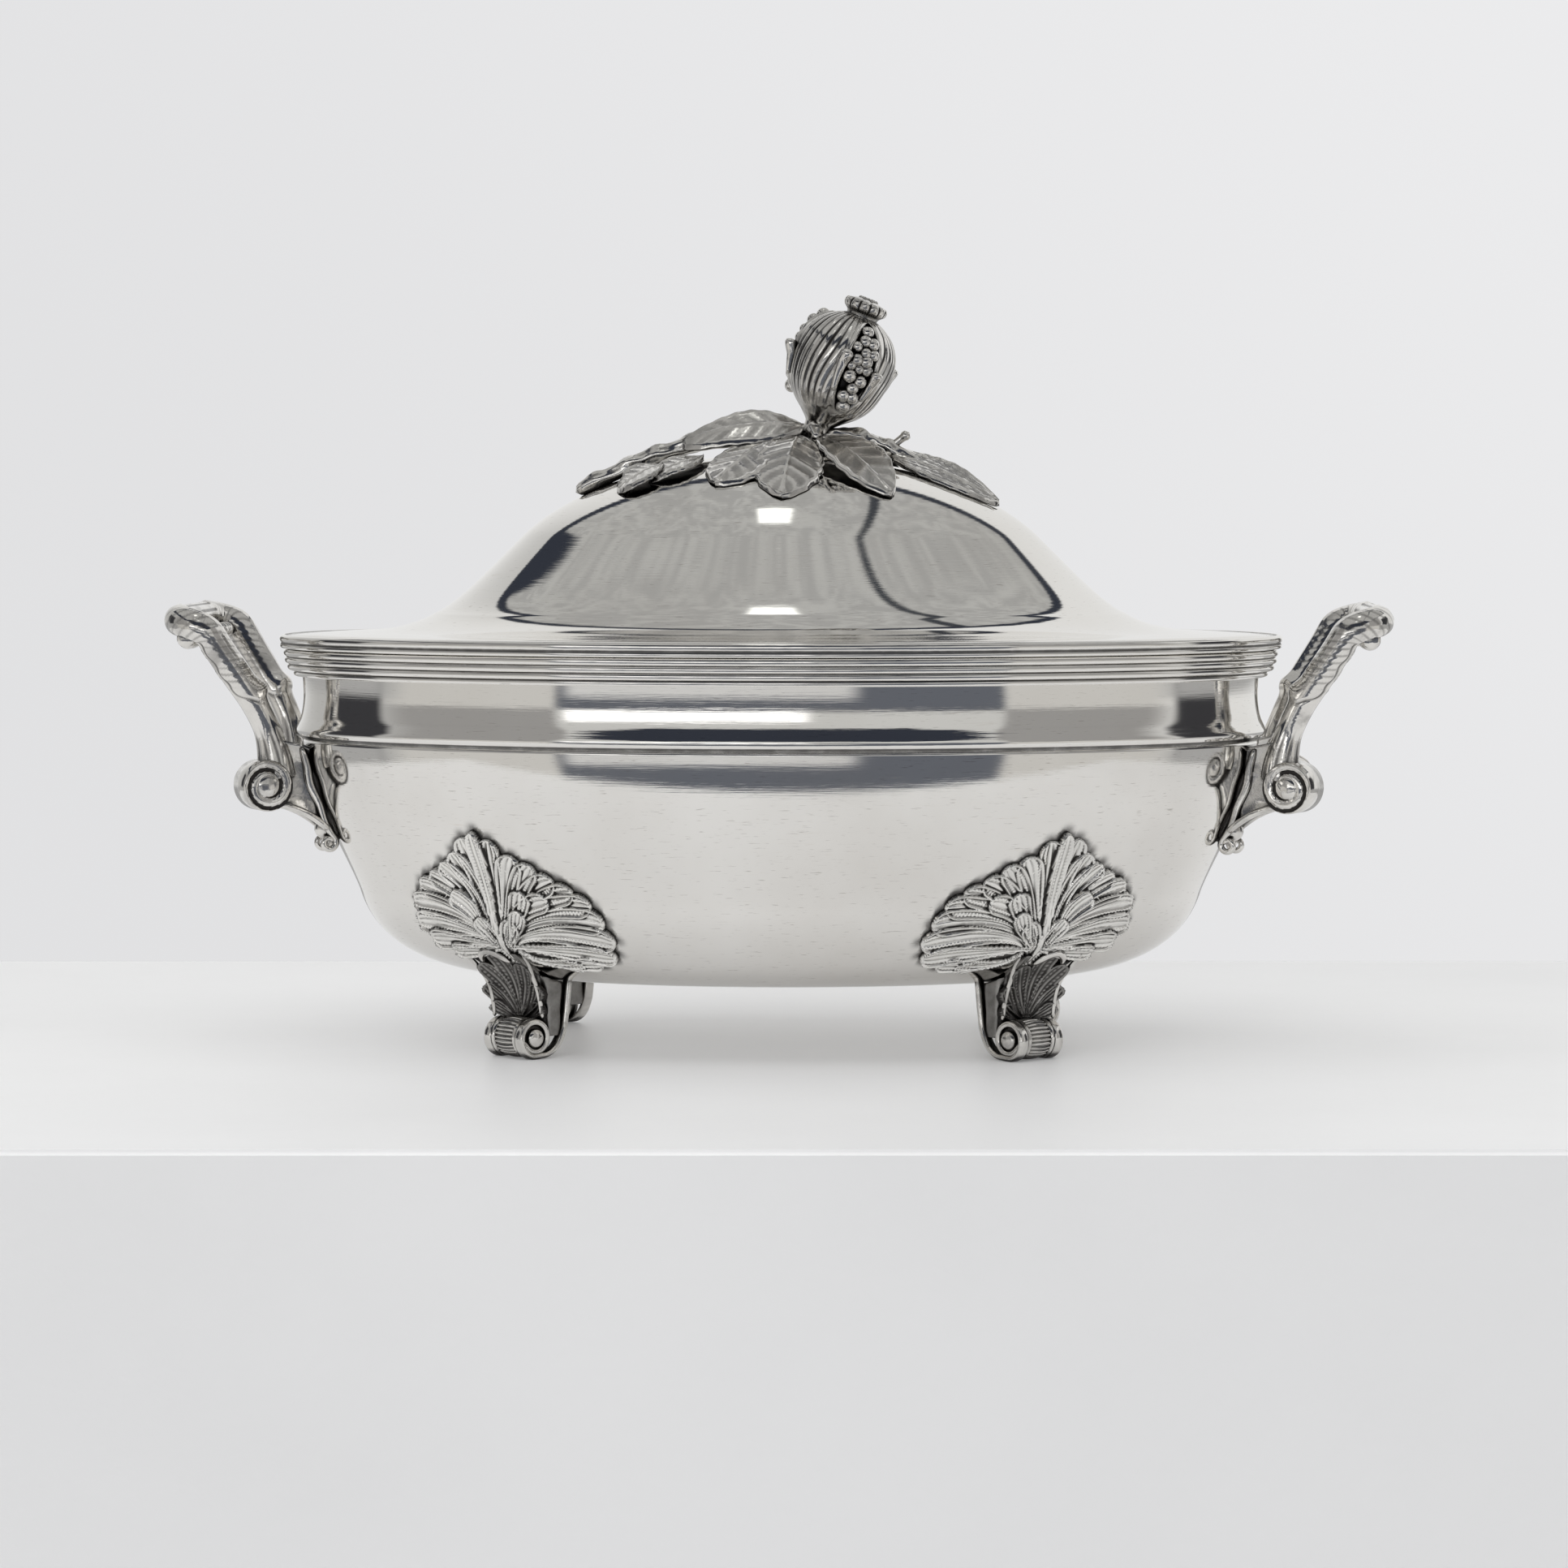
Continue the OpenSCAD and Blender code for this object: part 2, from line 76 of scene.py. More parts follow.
def bezier(a, b, c, d, steps=28):
    """Points of a cubic Bezier curve after its first."""
    a, b, c, d = (np.array(p, float) for p in (a, b, c, d))
    t = (np.arange(1, steps + 1) / steps)[:, None]
    return (1 - t) ** 3 * a + 3 * t * (1 - t) ** 2 * b + 3 * t * t * (1 - t) * c + t ** 3 * d


def join(*runs):
    return np.vstack([np.atleast_2d(np.array(r, float)) for r in runs])


def spline(points, steps=8):
    """Catmull-Rom curve through points, any dimension."""
    p = np.array(points, float)
    p = np.vstack([2 * p[0] - p[1], p, 2 * p[-1] - p[-2]])
    t = (np.arange(steps) / steps)[:, None]
    out = []
    for i in range(1, len(p) - 2):
        a, b, c, d = p[i - 1], p[i], p[i + 1], p[i + 2]
        out.append(0.5 * (2 * b + (c - a) * t + (2 * a - 5 * b + 4 * c - d) * t ** 2
                          + (3 * b - a - 3 * c + d) * t ** 3))
    return np.vstack(out + [p[-2:-1]])


def run_length(path):
    """Length along a path up to each of its points."""
    return np.concatenate([[0], np.cumsum(np.linalg.norm(np.diff(path, axis=0), axis=1))])


def headings(path):
    """Unit direction of a path at each of its points."""
    way = np.gradient(path, axis=0)
    return way / np.linalg.norm(way, axis=1)[:, None]


def turn_angles(count):
    """Evenly spaced angles round a full turn."""
    return np.arange(count) / count * 2 * math.pi


def smooth(x):
    """0 below 0, 1 above 1, smooth between."""
    x = np.clip(x, 0, 1)
    return x * x * (3 - 2 * x)


def side_of(path, distance):
    """A path moved to its left by distance."""
    way = headings(path)
    return path + distance * np.stack([-way[:, 1], way[:, 0]], 1)


# ---- Meshes --------

def mesh_piece(name, points, faces, material, body, replaces, fields):
    """A smooth-shaded piece from points in millimetres and faces, with point attributes."""
    mesh = bpy.data.meshes.new(name)
    mesh.from_pydata(np.asarray(points) * MM, [], faces)
    for key, values in fields.items():
        mesh.attributes.new(key, "FLOAT", "POINT").data.foreach_set(
            "value", np.asarray(values, np.float32).ravel())
    bm = bmesh.new()
    bm.from_mesh(mesh)
    bmesh.ops.remove_doubles(bm, verts=bm.verts, dist=1e-6)
    bm.to_mesh(mesh)
    bm.free()
    mesh.polygons.foreach_set("use_smooth", [True] * len(mesh.polygons))
    mesh.update()
    piece = bpy.data.objects.new(name, mesh)
    bpy.context.scene.collection.objects.link(piece)
    piece.data.materials.append(material)
    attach(piece, body)
    if replaces:
        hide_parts(*replaces)
    return piece


def grid_faces(rows, columns, close_rows=False, close_columns=False, start=0):
    """Quads of a grid whose points are numbered row by row."""
    i = np.arange(rows if close_rows else rows - 1)
    j = np.arange(columns if close_columns else columns - 1)
    i, j = (k.ravel() for k in np.meshgrid(i, j, indexing="ij"))
    a, b = i * columns + j, i * columns + (j + 1) % columns
    c, d = (i + 1) % rows * columns + (j + 1) % columns, (i + 1) % rows * columns + j
    return (np.stack([a, b, c, d], 1) + start).tolist()


def turned(name, profile, material, body, replaces, around=480, halo=None):
    """A closed section turned round and squeezed into an oval; x is the half length, y is z.

    halo works out the painted shade and tarnish, 0 to 1, from the points.
    """
    angle = turn_angles(around)
    p = np.array(profile, float)
    points = np.stack([np.outer(np.cos(angle), p[:, 0]), np.outer(np.sin(angle), p[:, 0]) * OVAL,
                       np.tile(p[:, 1], (around, 1))], -1)
    return mesh_piece(name, points.reshape(-1, 3), grid_faces(around, len(p), True, True),
                      material, body, replaces,
                      {"halo": halo(points)} if halo else {})


def creases(points):
    """Painted shade, with tarnish, in the inward corners of a turned section, for its halo attribute.
    """
    p = points[0][:, [0, 2]]
    before, after = p - np.roll(p, 1, 0), np.roll(p, -1, 0) - p
    turn_by = np.arctan2(before[:, 0] * after[:, 1] - before[:, 1] * after[:, 0],
                         (before * after).sum(1))
    inward = -turn_by * np.sign(turn_by.sum())
    dark = np.clip(inward / 0.4, 0, 1)
    dark = np.maximum(dark, 0.5 * np.maximum(np.roll(dark, 1), np.roll(dark, -1)))
    return np.broadcast_to(dark, points.shape[:2])


# ---- Shader nodes --------

class Value:
    """A shader value that can be added, multiplied and so on."""

    def __init__(self, tree, socket):
        self.tree, self.socket = tree, socket

    def op(self, kind, *others):
        node = self.tree.nodes.new("ShaderNodeMath")
        node.operation = kind
        for slot, value in zip(node.inputs, (self, *others)):
            plug(self.tree, slot, value)
        return Value(self.tree, node.outputs[0])

    def __add__(self, other):
        return self.op("ADD", other)

    def __sub__(self, other):
        return self.op("SUBTRACT", other)

    def __mul__(self, other):
        return self.op("MULTIPLY", other)

    def __truediv__(self, other):
        return self.op("DIVIDE", other)

    def __rsub__(self, other):
        return self.op("MULTIPLY", -1) + other

    def max(self, other):
        return self.op("MAXIMUM", other)

    def abs(self):
        return self.op("ABSOLUTE")

    def ramp(self, start, end):
        """0 at start, 1 at end, smooth between."""
        node = self.tree.nodes.new("ShaderNodeMapRange")
        node.interpolation_type = "SMOOTHSTEP"
        plug(self.tree, node.inputs["Value"], self)
        low_end, high_end = min(start, end), max(start, end)
        node.inputs["From Min"].default_value = low_end
        node.inputs["From Max"].default_value = high_end
        node.inputs["To Min"].default_value = 0 if start < end else 1
        node.inputs["To Max"].default_value = 1 if start < end else 0
        return Value(self.tree, node.outputs["Result"])

    def within(self, start, end, soft=0.02):
        return self.ramp(start - soft, start + soft) * self.ramp(end + soft, end - soft)


def plug(tree, slot, value):
    if isinstance(value, Value):
        tree.links.new(value.socket, slot)
    elif isinstance(value, (int, float)) or slot.type == "VALUE":
        slot.default_value = value
    else:
        slot.default_value = (*value, 1)[:len(slot.default_value)]


def mix(tree, share, a, b):
    """Colour a where share is 0, b where it is 1."""
    node = tree.nodes.new("ShaderNodeMix")
    node.data_type = "RGBA"
    plug(tree, node.inputs[0], share)
    plug(tree, node.inputs[6], a)
    plug(tree, node.inputs[7], b)
    return Value(tree, node.outputs[2])


def axes(tree, socket_name, stretch=(1, 1, 1)):
    """Texture coordinates, stretched, and their three parts."""
    place = tree.nodes.new("ShaderNodeMapping")
    place.inputs["Scale"].default_value = stretch
    tree.links.new(tree.nodes.new("ShaderNodeTexCoord").outputs[socket_name], place.inputs[0])
    parts = tree.nodes.new("ShaderNodeSeparateXYZ")
    tree.links.new(place.outputs[0], parts.inputs[0])
    return Value(tree, place.outputs[0]), [Value(tree, o) for o in parts.outputs]


def noise(tree, where, scale, detail=2.0, rough=0.5, distort=0.0):
    node = tree.nodes.new("ShaderNodeTexNoise")
    plug(tree, node.inputs["Vector"], where)
    for key, value in (("Scale", scale), ("Detail", detail), ("Roughness", rough),
                       ("Distortion", distort)):
        node.inputs[key].default_value = value
    return Value(tree, node.outputs["Fac"])


def bump(tree, height, distance, below=None):
    node = tree.nodes.new("ShaderNodeBump")
    node.inputs["Distance"].default_value = distance
    plug(tree, node.inputs["Height"], height)
    if below is not None:
        plug(tree, node.inputs["Normal"], below)
    return Value(tree, node.outputs[0])


def new_material(name):
    material = bpy.data.materials.new(name)
    material.use_nodes = True
    tree = material.node_tree
    return material, tree, tree.nodes["Principled BSDF"]


def attribute(tree, name):
    node = tree.nodes.new("ShaderNodeAttribute")
    node.attribute_name = name
    return Value(tree, node.outputs["Fac"])


# ---- Materials --------

BRIGHT = (0.86, 0.845, 0.815)
WARM = (0.66, 0.60, 0.52)
# the dark colour below is both oxide and the painted shade in creases, recesses and round the cast
# leaves
OXIDE_AND_SHADE = (0.045, 0.042, 0.04)


def polished_silver(name, roughness, haze, brown):
    """Rolled sheet: polished, with fine scratches, a little haze and brown tarnish streaks."""
    material, tree, shader = new_material(name)
    shader.inputs["Metallic"].default_value = 1
    spot, _ = axes(tree, "Object")
    streak, _ = axes(tree, "Object", (1, 1, 14))
    clouds = noise(tree, spot, 14, 4, 0.6)
    specks = noise(tree, streak, 60, 5, 0.7, 0.4)
    stained = (specks.ramp(0.60, 0.78) * noise(tree, spot, 22, 3).ramp(0.45, 0.72) * brown)
    ragged = noise(tree, spot, 110, 4, 0.7) * 1.2 + 0.45
    # painted shade: the halo attribute darkens the colour in creases and round the cast leaves,
    # together with tarnish
    dark = (attribute(tree, "halo") * ragged).ramp(0.02, 1.0) * 0.85
    pits = noise(tree, streak, 230, 2, 0.5).ramp(0.64, 0.76) * 0.5 * brown
    colour = mix(tree, clouds.ramp(0.35, 0.8) * (0.3 + 0.6 * brown), BRIGHT, (0.77, 0.745, 0.705))
    colour = mix(tree, pits, colour, (0.16, 0.12, 0.09))
    colour = mix(tree, stained, colour, WARM)
    colour = mix(tree, dark, colour, OXIDE_AND_SHADE)
    plug(tree, shader.inputs["Base Color"], colour)
    rough = clouds.ramp(0.3, 0.75) * haze + roughness + stained * 0.25 + dark * 0.35
    plug(tree, shader.inputs["Roughness"], rough)
    waves = bump(tree, noise(tree, spot, 9, 1), 0.25 * MM)
    scratches, _ = axes(tree, "Object", (3, 3, 160))
    lines = bump(tree, noise(tree, scratches, 12, 3, 0.6), 0.015 * MM, waves)
    plug(tree, shader.inputs["Normal"], lines)
    return material


def cast_silver(name, base=(0.82, 0.80, 0.765), reach=3.2, depth=1.0, stains=0.42, rough=0.11):
    """Chased casting: worn bright on its edges and dark in its recesses, with oxide and painted shade.

    reach is how far the shade of a recess spreads, in millimetres, and depth how dark it is.
    """
    material, tree, shader = new_material(name)
    shader.inputs["Metallic"].default_value = 1
    spot, _ = axes(tree, "Object")
    shade = tree.nodes.new("ShaderNodeAmbientOcclusion")
    shade.samples = 6
    shade.inputs["Distance"].default_value = reach * MM
    open_sky = Value(tree, shade.outputs["AO"])
    grime = noise(tree, spot, 160, 4, 0.65)
    recess = attribute(tree, "recess")
    # painted shade: ambient occlusion and the recess attribute darken the colour in hollows and where
    # parts meet, together with oxide; grime and stains are real marks
    dark = ((1 - open_sky.ramp(0.35, 0.92)) * depth).max(recess) + (grime - 0.5) * 0.3
    stain = noise(tree, spot, 75, 4, 0.6, 0.6).ramp(0.42, 0.72) * stains
    dark = dark.ramp(0.12, 0.80).max(stain)
    colour = mix(tree, dark, base, OXIDE_AND_SHADE)
    plug(tree, shader.inputs["Base Color"], colour)
    plug(tree, shader.inputs["Roughness"], dark * 0.28 + rough)
    pits = bump(tree, noise(tree, spot, 700, 3), 0.05 * MM)
    plug(tree, shader.inputs["Normal"], pits)
    return material


def dull_brass(name):
    """Turned brass of the hidden fixings, with a brown film."""
    material, tree, shader = new_material(name)
    shader.inputs["Metallic"].default_value = 1
    spot, _ = axes(tree, "Object")
    film = noise(tree, spot, 120, 4, 0.6)
    plug(tree, shader.inputs["Base Color"],
         mix(tree, film.ramp(0.35, 0.7), (0.62, 0.48, 0.24), (0.36, 0.26, 0.13)))
    plug(tree, shader.inputs["Roughness"], film * 0.3 + 0.2)
    return material


SHEET_SILVER = polished_silver("sheet_silver", roughness=0.035, haze=0.05, brown=0.5)
BODY_SILVER = polished_silver("body_silver", roughness=0.05, haze=0.06, brown=0.8)
CAST_SILVER = cast_silver("cast_silver")
HANDLE_SILVER = cast_silver("handle_silver", depth=0.9, stains=0.45, rough=0.07)
LEAF_SILVER = cast_silver("leaf_silver", (0.90, 0.885, 0.85), 1.6, 0.55, 0.16, 0.16)
BRASS = dull_brass("dull_brass")

for node, obj in frame["nodes"].items():
    for i in range(len(obj.material_slots)):
        fixing = node in ("finial_screw", "finial_washer", "finial_nut")
        obj.material_slots[i].material = BRASS if fixing else SHEET_SILVER


# ---- Sections of the sheet parts --------

BOWL_H = BOWL_TOP - BASE_Z
FLANK = (BASE_R + 52.5, BASE_Z + BOWL_H * 0.355)
BOWL_PATH = join(
    [(0, BASE_Z)], [(BASE_R * k / 10, BASE_Z) for k in range(1, 11)],
    bezier((BASE_R, BASE_Z), (BASE_R + 28, BASE_Z), (BASE_R + 47, BASE_Z + BOWL_H * 0.11), FLANK,
           48),
    bezier(FLANK, (FLANK[0] + 4.6, FLANK[1] + 12), (BOWL_R - 0.8, BOWL_TOP - 17),
           (BOWL_R, BOWL_TOP), 48))


def bowl_section():
    inside = side_of(BOWL_PATH, SHEET)
    inside[0, 0] = 0
    inside = inside[::3][inside[::3, 1] < BOWL_TOP]
    edge = [(BOWL_R, BOWL_TOP), (BOWL_R - 0.2, BOWL_TOP), (inside[-1, 0] + 0.2, BOWL_TOP)]
    return join(BOWL_PATH[:-1], edge, inside[::-1])


NECK_OUT = spline([(BOWL_R + 1.3, BOWL_TOP + 1.2), (BOWL_R + 1.9, BOWL_TOP + 2.2),
                   (BOWL_R + 1.95, BOWL_TOP + 3.3), (BOWL_R + 1.3, BOWL_TOP + 5.0),
                   (BOWL_R + 0.4, BOWL_TOP + 7.4), (BOWL_R - 0.15, BOWL_TOP + 10.5),
                   (BOWL_R - 0.35, BOWL_TOP + 14), (BOWL_R - 0.2, BOWL_TOP + 18),
                   (BOWL_R + 0.3, BOWL_TOP + 23), (BOWL_R + 0.8, RIM_TOP)])


def neck_section():
    inside = np.array([(BOWL_R - 0.6, RIM_TOP), (BOWL_R - 1.5, RIM_TOP - 12),
                       (BOWL_R - 1.4, BOWL_TOP + 6), (BOWL_R - 1.2, BOWL_TOP + 0.05)])
    return join(NECK_OUT, inside, [(BOWL_R + 0.3, BOWL_TOP + 0.05), (BOWL_R + 0.5, BOWL_TOP + 1)])


turned("neck_body", neck_section(), SHEET_SILVER, "bowl", ["neck_band", "waist_wire"], halo=creases)


def arc(centre, radius, start, end, steps=8):
    a = np.radians(np.linspace(start, end, steps + 1))
    return np.stack([centre[0] + radius * np.cos(a), centre[1] + radius * np.sin(a)], 1)


def rim_section():
    reeds = [(BOWL_R + 1.9, RIM_TOP - 7.9, 0.95), (BOWL_R + 3.75, RIM_TOP - 5.85, 1.1),
             (BOWL_R + 4.6, RIM_TOP - 3.65, 1.1), (BOWL_R + 4.9, RIM_TOP - 1.3, 1.2)]
    runs = [arc((x, z), r, -75, 80) for x, z, r in reeds]
    return join([(BOWL_R + 0.25, RIM_TOP - 8.8)], *runs,
                [(BOWL_R + 4.4, RIM_TOP), (BOWL_R + 0.8, RIM_TOP), (BOWL_R + 0.5, RIM_TOP - 4)])


turned("rim_reeds", rim_section(), SHEET_SILVER, "bowl", ["rim_moulding"], halo=creases)

FLANGE_Z = RIM_TOP + 4.2
DOME_R = 111.8
DOME_BASE = (DOME_R, FLANGE_Z + 7.2)
DOME_WAIST = (DOME_R * 0.749, FLANGE_Z + 31.7)
LID_PATH = join(
    [(LID_R - 2, FLANGE_Z), (LID_R - 12, FLANGE_Z + 0.6), (LID_R - 24, FLANGE_Z + 1.2)],
    bezier((LID_R - 24, FLANGE_Z + 1.2), (LID_R - 36, FLANGE_Z + 1.7),
           (DOME_BASE[0] + 7, DOME_BASE[1] - 4.2), DOME_BASE),
    bezier(DOME_BASE, (DOME_BASE[0] - 6.8, DOME_BASE[1] + 2.8),
           (DOME_WAIST[0] + 11.3, DOME_WAIST[1] - 11.2), DOME_WAIST),
    bezier(DOME_WAIST, (DOME_WAIST[0] - 13.7, DOME_WAIST[1] + 13.8), (DOME_R * 0.34, CROWN_Z),
           (0, CROWN_Z), 48))


def lid_section():
    inside = side_of(LID_PATH, SHEET)
    inside[-1, 0] = 0
    return join(LID_PATH, inside[::-1])


turned("lid_dome", lid_section(), SHEET_SILVER, "lid", ["lid_shell"])


def lid_edge_section():
    """A rolled bead on top, a groove and a thin lip under it."""
    bead = arc((LID_R - 1.35, FLANGE_Z - 1.0), 1.35, 110, -60, 10)
    lip = arc((LID_R - 1.0, RIM_TOP + 0.95), 0.8, 50, -70, 6)
    return join([(LID_R - 4.0, FLANGE_Z + 0.1), (LID_R - 3.0, FLANGE_Z + 0.12),
                 (LID_R - 2.3, FLANGE_Z - 0.02)], bead, lip,
                [(LID_R - 2.2, RIM_TOP), (LID_R - 7, RIM_TOP), (LID_R - 7, FLANGE_Z - 1.4),
                 (LID_R - 4.4, FLANGE_Z - 1.0)])


turned("lid_rim", lid_edge_section(), SHEET_SILVER, "lid", ["lid_edge"], halo=creases)


# ---- Reliefs: overlapping petals worked on a flat grid --------

def along(points, path):
    """Nearest place on a path for each point: its share of the length, and its distance."""
    length = run_length(path)
    share, gap = np.zeros(len(points)), np.full(len(points), 1e9)
    for i in range(len(path) - 1):
        way = path[i + 1] - path[i]
        t = np.clip((points - path[i]) @ way / (way @ way), 0, 1)
        d = np.linalg.norm(points - path[i] - t[:, None] * way, axis=1)
        closer = d < gap
        gap[closer] = d[closer]
        share[closer] = (length[i] + t[closer] * (length[i + 1] - length[i])) / length[-1]
    return share, gap, length[-1]


def petal_path(base, tip, spring, steps=14):
    """Curve that leaves its base upwards and bends over to its tip."""
    base, tip = np.array(base, float), np.array(tip, float)
    knee = (base[0] + (tip[0] - base[0]) * spring[0], base[1] + (tip[1] - base[1]) * spring[1])
    t = np.linspace(0, 1, steps + 1)[:, None]
    return (1 - t) ** 2 * base + 2 * t * (1 - t) * np.array(knee) + t * t * tip


def petal_half(share, width, full=0.86, foot=0.2):
    return (width / 2 * (foot + (1 - foot) * smooth(share / full))
            * np.sqrt(1 - np.clip((share - full) / (1 - full), 0, 1) ** 2))


def petals_relief(points, petals):
    """Height and cover of petals; each is base, tip, width, level, spring, flutes."""
    height = np.full(len(points), -1.0)
    for base, tip, width, level, spring, flutes in petals:
        share, gap, length = along(points, petal_path(base, tip, spring))
        half = petal_half(share, width)
        q = gap / np.maximum(half, 0.01)
        rim = np.exp(-((q - 0.82) / 0.11) ** 2)
        vein = np.exp(-(gap / 0.42) ** 2) * (1 - flutes)
        dots = (np.exp(-((q - 0.45) / 0.10) ** 2) * smooth((half - 1.4) / 0.8)
                * (0.5 + 0.5 * np.cos(share * length * 2 * math.pi / 1.2)))
        ribs = np.cos(q * 2 * math.pi * 2.5) * smooth((half - 1.2) / 1.5) if flutes else 0
        shape = (level + 0.38 * rim + 0.4 * vein + 0.22 * dots + 0.12 * ribs - 0.75 * (1 - q * q)
                 + 0.9 * smooth((share - 0.55) / 0.45))
        shape = shape * smooth((1 - q) / 0.16) - (1 - smooth((1 - q) / 0.16)) * 0.2
        height = np.where((q < 1) & (shape > height), shape, height)
    return height


def recess_of(height, rounds=7, gain=3.2):
    """How far each point of a height grid lies below its surroundings, 0 to 1."""
    blur = height.copy()
    for _ in range(rounds):
        p = np.pad(blur, 1, mode="edge")
        blur = (p[:-2, 1:-1] + p[2:, 1:-1] + p[1:-1, :-2] + p[1:-1, 2:] + 2 * blur) / 6
    return np.clip((blur - height) * gain + 0.12, 0, 1)


def relief_piece(name, u, v, petals, place, replaces, material, mirror, shadow=0.0):
    """Cast relief: petals on the grid of u and v, set on a surface by place(u, v, height)."""
    grid = np.stack(np.meshgrid(u, v, indexing="ij"), -1).reshape(-1, 2)
    height = petals_relief(grid, petals)
    shape = (len(u), len(v))
    # painted shade, with oxide, in the hollows between the petals; shadow adds painted shadow over the
    # whole relief
    recess = recess_of(np.maximum(height, 0).reshape(shape)).ravel()
    keep = height > -0.5
    faces = np.array(grid_faces(*shape))
    faces = faces[keep[faces].sum(1) >= 1]
    points = place(grid[:, 0], grid[:, 1], np.where(keep, height, -0.4))
    used, index = np.unique(faces, return_inverse=True)
    points = points[used] * np.array([mirror[0], mirror[1], 1])
    faces = index.reshape(faces.shape)
    if mirror[0] * mirror[1] < 0:
        faces = faces[:, ::-1]
    return mesh_piece(name, points, faces.tolist(), material, "bowl", replaces,
                      {"recess": np.minimum(recess * (1 - shadow) + shadow, 1)[used]})


CORNERS = {"front_left": (1, 1), "front_right": (-1, 1), "back_left": (1, -1),
           "back_right": (-1, -1)}


# ---- Cast leaf on the bowl's flank --------

FAN_AT = math.radians(48)           # datum of the leaf, in degrees round the bowl from its end
FAN_ROOT = (3.2, 7.0)              # root of the leaf from the datum: round the bowl, up the flank
FAN_TILT = math.radians(4.6)
ARC = run_length(BOWL_PATH)
ARC_LOW = float(np.interp(31, BOWL_PATH[10:, 1], ARC[10:]))
WAY = headings(BOWL_PATH)


def stretch(angle):
    return np.sqrt(np.sin(angle) ** 2 + OVAL ** 2 * np.cos(angle) ** 2)


def on_flank(a, b, h):
    """Leaf coordinates, across and up, to a point of the front-left flank."""
    c, s = math.cos(FAN_TILT), math.sin(FAN_TILT)
    round_by = FAN_ROOT[0] + a * c + b * s
    t = FAN_ROOT[1] - a * s + b * c + ARC_LOW
    r, z = np.interp(t, ARC, BOWL_PATH[:, 0]), np.interp(t, ARC, BOWL_PATH[:, 1])
    nr, nz = np.interp(t, ARC, WAY[:, 1]), -np.interp(t, ARC, WAY[:, 0])
    angle = np.full(np.shape(a), FAN_AT)
    for _ in range(4):
        angle = FAN_AT + round_by / (r * stretch((angle + FAN_AT) / 2))
    out = np.stack([-nr * np.cos(angle), -nr * np.sin(angle) / OVAL, nz], -1)
    out /= np.linalg.norm(out, axis=-1)[..., None]
    return np.stack([-r * np.cos(angle), -r * np.sin(angle) * OVAL, z], -1) + out * h[..., None]


def fan_coordinates(points):
    """The reverse of on_flank, for points of the bowl's outside."""
    angle = np.arctan2(np.abs(points[:, 1]) / OVAL, np.abs(points[:, 0]))
    r = np.hypot(points[:, 0], points[:, 1] / OVAL)
    t = np.interp(points[:, 2], BOWL_PATH[10:, 1], ARC[10:]) - ARC_LOW
    d0 = (angle - FAN_AT) * r * stretch((angle + FAN_AT) / 2) - FAN_ROOT[0]
    d1 = t - FAN_ROOT[1]
    c, s = math.cos(FAN_TILT), math.sin(FAN_TILT)
    return np.stack([d0 * c - d1 * s, d0 * s + d1 * c], 1)


UP, WIDE = (0.15, 0.62), (0.35, 1.25)      # how a petal's middle leans between its ends
FAN = [
    ((1, 2), (24, 8), 20, -0.1, (0.4, 0.6), False),
    ((-1, 2), (-20, 14), 18, -0.1, (0.4, 0.6), False),
    ((1, -4), (3, 34), 18, -0.1, UP, False),
    ((-1, 5), (-4.2, 41.2), 9.0, 0.8, UP, True),
    ((2, 5), (5.6, 41.4), 8.6, 0.8, UP, True),
    ((-1, 4), (-9.4, 35.6), 9.0, 1.0, UP, True),
    ((3, 5), (12.6, 36.4), 10.0, 1.1, (0.3, 0.55), True),
    ((-1, 4), (-15.0, 31.0), 9.0, 1.2, (0.2, 0.65), True),
    ((3, 5), (18.6, 33.8), 9.0, 1.3, (0.35, 0.6), True),
    ((-2, 4), (-20.8, 26.6), 8.4, 1.1, (0.2, 0.7), True),
    ((4, 5), (24.6, 29.4), 9.4, 1.1, (0.3, 0.72), True),
    ((-2, 4), (-26.6, 22.4), 9.0, 1.1, (0.2, 0.8), True),
    ((4, 6), (30.4, 26.0), 9.0, 1.3, (0.35, 0.75), True),
    ((-2, 5), (-13.6, 20.4), 8.6, 1.9, (0.35, 0.75), True),
    ((3, 6), (13.0, 24.0), 8.0, 1.9, (0.6, 0.4), True),
    ((3, 4), (11.0, 17.0), 6.2, 2.2, (0.6, 0.4), True),
    ((4, 6), (21.5, 22.0), 8.4, 1.8, (0.3, 0.8), True),
    ((-2, 5), (-30.8, 15.6), 9.5, 1.5, (0.3, 1.1), True),
    ((-2, 4), (-31.0, 8.8), 9.5, 1.7, (0.3, 1.2), True),
    ((-2, 3), (-27.5, 3.0), 9.0, 1.9, WIDE, True),
    ((-1, 2), (-21.0, -1.0), 7.6, 1.8, WIDE, True),
    ((4, 5), (35.6, 21.4), 9.5, 1.4, (0.3, 1.0), True),
    ((4, 4), (38.8, 15.8), 10.0, 1.6, (0.3, 1.25), True),
    ((4, 3), (40.4, 9.4), 10.0, 1.8, (0.25, 1.6), True),
    ((4, 3), (38.0, 3.2), 9.5, 2.0, (0.2, 2.8), True),
    ((5, 1), (31.0, -0.8), 8.0, 1.5, (0.1, 5.0), True),
    ((5, -1), (24.0, -3.6), 7.0, 1.2, (0.3, 2.0), True),
    ((0.5, 0), (0.6, 44.0), 5.6, 2.0, (0.6, 0.5), False),
    ((0, -5), (-5.5, 13), 7.0, 1.5, UP, True),
    ((1, -5), (7.5, 13), 7.0, 1.5, UP, True),
]


